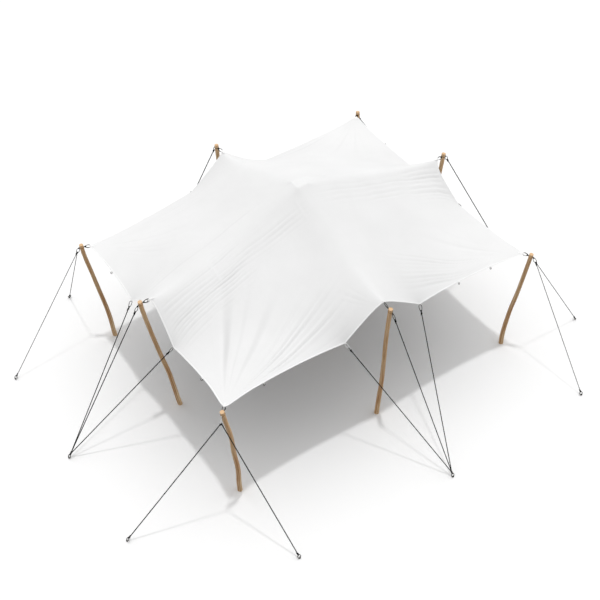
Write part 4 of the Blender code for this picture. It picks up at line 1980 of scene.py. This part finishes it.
@dataclass
class EdgeRing:
    """A small loose steel ring that hangs from a webbing loop on the canopy's free edge."""

    name: str
    near: Flat
    radius: float = 0.0165
    wire: float = 0.0045
    steps: int = 30
    loop_width: float = 0.022
    loop_thickness: float = 0.0018
    # Where the webbing lies on the hem's two faces, and how far it is sewn in under and over it
    loop_lift: float = 0.0038
    sewn_under: float = 0.030
    sewn_over: float = 0.022
    # The ring hangs this far out of the edge and below it
    hang: float = 0.008

    def build(self, canopy: Canopy, finishes: list[bpy.types.Material]) -> bpy.types.Object:
        """Make the ring and its loop.

        Args:
            canopy: The canopy that it hangs from.
            finishes: The ring's steel and the webbing.

        Returns:
            The piece.
        """
        edge, up, inwards = canopy.rim()
        k = int(np.argmin(np.hypot(edge[:, 0] - self.near[0], edge[:, 1] - self.near[1])))
        place, out = edge[k], -inwards[k]
        level = unit(np.array((out[0], out[1], 0.0)))
        heading = unit(edge[k + 1] - edge[k - 1])
        hang = place + level * self.hang - UP * self.hang
        centre = hang + unit(level * 0.6 - UP) * self.radius
        first = unit(hang - centre)
        lean = unit(heading * 0.95 + np.cross(first, heading) * 0.25)
        line = circle(centre, first, lean, self.radius, self.steps)
        ring = tube(line, self.wire, 10, side=tuple(np.cross(first, lean)), closed=True)
        lift = up[k] * self.loop_lift
        path = [
            place - out * self.sewn_under - lift,
            place - lift,
            # Round the ring's wire, which it wraps closely
            hang - UP * 0.006 - level * 0.004,
            hang + level * 0.006 - UP * 0.003,
            hang + level * 0.004 + UP * 0.005,
            place + lift + out * 0.003,
            place - out * self.sewn_over + lift,
        ]
        rows = [np.array(path) + heading * self.loop_width * share for share in (-0.5, 0.0, 0.5)]
        loop = shell(np.array(rows), self.loop_thickness, finish=1)
        return make_piece("edge_ring_" + self.name, [ring, loop], finishes, Slot.LINK)


# Rigging


@dataclass
class Rigging:
    """The ropes, stakes and edge links round the tent."""

    canopy: Canopy
    rope: bpy.types.Material
    stake_steel: bpy.types.Material
    link_finishes: list[bpy.types.Material]
    link_length: float = 0.125
    # The ropes are seated by the solids' radius, whatever they look like
    seat_radius: float = 0.007
    # Where the straight ropes end: off a corner link, off another link, off a stake's ring
    corner_off: float = 0.008
    link_off: float = 0.012
    stake_off: float = 0.006
    # Where the three ropes of a mid-side stake meet, off its ring
    meeting: float = 0.026
    # Half the room between the two bights on a corner link, whose knots point this share down the rope
    aside: float = 0.005
    aim: float = 0.01
    # Lengths of the windings: on corner links, on the front left one, on stakes and on edge links
    corner_knot: float = 0.030
    short_knot: float = 0.016
    stake_knot: float = 0.022
    meeting_knot: float = 0.036
    edge_knot: float = 0.018

    def build_corner(self, name: str) -> None:
        """Make a corner pole's two ropes with their knots and stakes.

        Args:
            name: The pole's name.
        """
        spec = RopeSpec(radius=ROPE_RADII[name])
        fitting = HeadFitting(name, POLES[name], self.canopy)
        link = fitting.outer_link()
        _, across = link.axes()
        starts, offs = fitting.rope_starts(self.seat_radius), (self.aside, -self.aside)
        length = self.short_knot if name == "front_left" else self.corner_knot
        for label, place, start, off in zip(("end", "side"), CORNER_STAKES[name], starts, offs):
            stake = StakeHead(name + "_" + label, place, start)
            stake.build(self.stake_steel)
            foot, wire = stake.rope_wire(), link.end + across * off
            first = start + unit(foot - start) * self.corner_off
            shapes = [spec.run(first, foot + stake.pull() * self.stake_off)]
            aim = start * (1.0 - self.aim) + foot * self.aim
            shapes += spec.tie(wire, aim, link.normal(), length)
            shapes += spec.tie(foot, start, stake.normal(), self.stake_knot)
            piece = make_piece("laid_rope_" + name + "_" + label, shapes, [self.rope], Slot.ROPE, ROPE_EDGE)
            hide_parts("guy_rope_" + name + "_" + label)

    def edge_link(self, name: str, stake: Flat) -> WireLink:
        """Return the link at a low edge point, from its rope to the canopy.

        Args:
            name: The low point's name.
            stake: The stake that it is tied to.

        Returns:
            The link.
        """
        low = np.array(LOW_POINTS[name])
        pull = unit(np.array((*stake, RING_HEIGHT)) - low)
        wide = low + pull * self.canopy.seat("low_" + name, pull)
        side = level_side(pull, EDGE_LINK_TURNS.get(name, 0.0))
        return WireLink(wide + pull * self.link_length, wide, side)

    def build_side(self, name: str) -> None:
        """Make the ropes that meet at a mid-side stake, the stake and the two edge links.

        Args:
            name: The pole's name.
        """
        spec = RopeSpec(radius=ROPE_RADII[name])
        outer = HeadFitting(name, POLES[name], self.canopy).outer_link()
        stake = StakeHead(name, SIDE_STAKES[name], outer.end)
        stake.build(self.stake_steel)
        foot = stake.rope_wire()
        knot = foot + stake.pull() * self.meeting
        shapes = [spec.run(outer.end + unit(foot - outer.end) * self.link_off, knot)]
        shapes += spec.tie(outer.end, foot, outer.normal())
        shapes += spec.tie(foot, outer.end, stake.normal(), self.meeting_knot)
        for low in SIDE_LOW_POINTS[name]:
            link = self.edge_link(low, SIDE_STAKES[name])
            bright = 3 if low == "front_left" else 0
            fitting = make_piece("edge_link_ring_" + low, link.shapes(bright), self.link_finishes, Slot.LINK)
            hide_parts("edge_link_" + low)
            self.canopy.build_becket("low_" + low, link)
            shapes.append(spec.run(link.start + unit(knot - link.start) * self.link_off, knot))
            shapes += spec.tie(link.start, knot, link.normal(), self.edge_knot)
        piece = make_piece("laid_ropes_" + name, shapes, [self.rope], Slot.ROPE, ROPE_EDGE)
        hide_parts("guy_ropes_" + name)


# Studio


@dataclass
class Studio:
    """The floor, light and camera."""

    floor_half: float = 45.0
    # Sine of the height above the horizon, with the sky's strength there
    sky: tuple[Flat, ...] = (
        (-1.0, 0.05),
        (-0.55, 0.05),
        (-0.42, 0.72),
        (0.26, 0.72),
        (0.36, 0.39),
        (0.64, 0.39),
        (0.80, 1.24),
        (1.0, 1.24),
    )
    # How much the sky brightens towards the back right
    sky_slope: Point = (0.130, 0.140, 0.0)
    sun_strength: float = 0.87
    sun_angle: float = 2.5
    camera: Point = (-8.9738, -12.4495, 15.6651)
    target: Point = (0.5596, 0.8726, 0.0)
    lens: float = 72.0
    sensor: float = 36.0
    sight: float = 200.0

    def build_floor(self) -> None:
        """Lay the floor."""
        half = self.floor_half
        mesh = bpy.data.meshes.new("floor")
        corners = [(-half, -half, 0.0), (half, -half, 0.0), (half, half, 0.0), (-half, half, 0.0)]
        mesh.from_pydata(corners, [], [(0, 1, 2, 3)])
        mesh.materials.append(PaintedFloor().make())
        floor = bpy.data.objects.new("floor", mesh)
        bpy.context.scene.collection.objects.link(floor)
        # The floor's own bounce is left out, so the shade under the canopy stays deep
        floor.visible_diffuse = False

    def build_light(self) -> None:
        """Set a soft studio sky, brightest overhead and to the back right, and a small sun above."""
        world = bpy.data.worlds.new("soft_studio_sky")
        world.use_nodes = True
        tree = world.node_tree
        place = add_node(tree, "ShaderNodeTexCoord").outputs["Generated"]
        height = add_node(tree, "ShaderNodeSeparateXYZ", {}, {0: place})
        ends = {"From Min": -1.0, "From Max": 1.0}
        share = add_node(tree, "ShaderNodeMapRange", ends, {"Value": height.outputs["Z"]})
        ramp = add_node(tree, "ShaderNodeValToRGB", {}, {"Fac": share.outputs["Result"]})
        stops = ramp.color_ramp.elements
        while len(stops) < len(self.sky):
            stops.new(0.5)
        for stop, (sine, _) in zip(stops, self.sky):
            stop.position = (sine + 1.0) / 2.0
        for stop, (_, strength) in zip(stops, self.sky):
            stop.color = (strength, strength, strength, 1.0)
        slope = {"operation": "DOT_PRODUCT", 1: self.sky_slope}
        aside = add_node(tree, "ShaderNodeVectorMath", slope, {0: place})
        parts = {0: ramp.outputs["Color"], 1: aside.outputs["Value"]}
        total = add_node(tree, "ShaderNodeMath", {"operation": "ADD"}, parts)
        background = tree.nodes["Background"]
        background.inputs["Color"].default_value = (1.0, 1.0, 1.0, 1.0)
        tree.links.new(total.outputs[0], background.inputs["Strength"])
        bpy.context.scene.world = world
        light = bpy.data.lights.new("overhead_sun", "SUN")
        light.energy = self.sun_strength
        light.angle = math.radians(self.sun_angle)
        sun = bpy.data.objects.new("overhead_sun", light)
        bpy.context.scene.collection.objects.link(sun)
        bpy.context.scene.view_settings.view_transform = "Standard"

    def build_camera(self) -> None:
        """Stand the camera where the photograph was taken."""
        lens = bpy.data.cameras.new("camera")
        lens.lens = self.lens
        lens.sensor_width = self.sensor
        lens.clip_end = self.sight
        camera = bpy.data.objects.new("camera", lens)
        camera.location = self.camera
        heading = Vector(self.target) - Vector(self.camera)
        camera.rotation_euler = heading.to_track_quat("-Z", "Y").to_euler()
        bpy.context.scene.collection.objects.link(camera)
        bpy.context.scene.camera = camera


# Where the free edge's small rings hang, nearly
EDGE_RINGS = {
    "left_back": (-2.93, 1.44),
    "left_front": (-3.00, -1.53),
    "front_left": (-2.30, -2.20),
    "front_mid": (1.60, -2.20),
    "front_right": (2.28, -2.23),
    "right_back": (2.97, 1.50),
    "back_right": (1.90, 2.42),
    "back_left": (-1.80, 2.35),
}


def main() -> None:
    """Build and dress the whole tent."""
    logging.basicConfig(level=logging.INFO, format="%(name)s %(message)s")
    studio = Studio()
    studio.build_camera()
    studio.build_light()
    studio.build_floor()
    canopy = Canopy()
    membrane = canopy.build()
    hem = canopy.build_hem()
    wood = [PeeledGumPole().make(), SawnEndGrain().make()]
    steel = [BlackenedWire().make(), BlackenedFerrule().make(), BronzeWire().make(), GalvanisedWire().make()]
    for name, place in POLES.items():
        EdgePole(name, place).build(wood)
        fitting = HeadFitting(name, place, canopy)
        fitting.build(steel)
        if abs(INNER_LINK_TURNS.get(name, 0.0)) > CORD_TURN:
            canopy.build_becket(name, fitting.inner_link())
        else:
            canopy.build_tab(name, fitting.inner_link())
    centre = CentrePole()
    centre.build(wood)
    centre.build_head()
    rigging = Rigging(canopy, LaidRope().make(), ForgedStake().make(), steel)
    for name in CORNER_STAKES:
        rigging.build_corner(name)
    for name in SIDE_STAKES:
        rigging.build_side(name)
    finishes = [steel[0], canopy.webbing]
    rings = [EdgeRing(name, near).build(canopy, finishes) for name, near in EDGE_RINGS.items()]


if __name__ == "__main__":
    main()
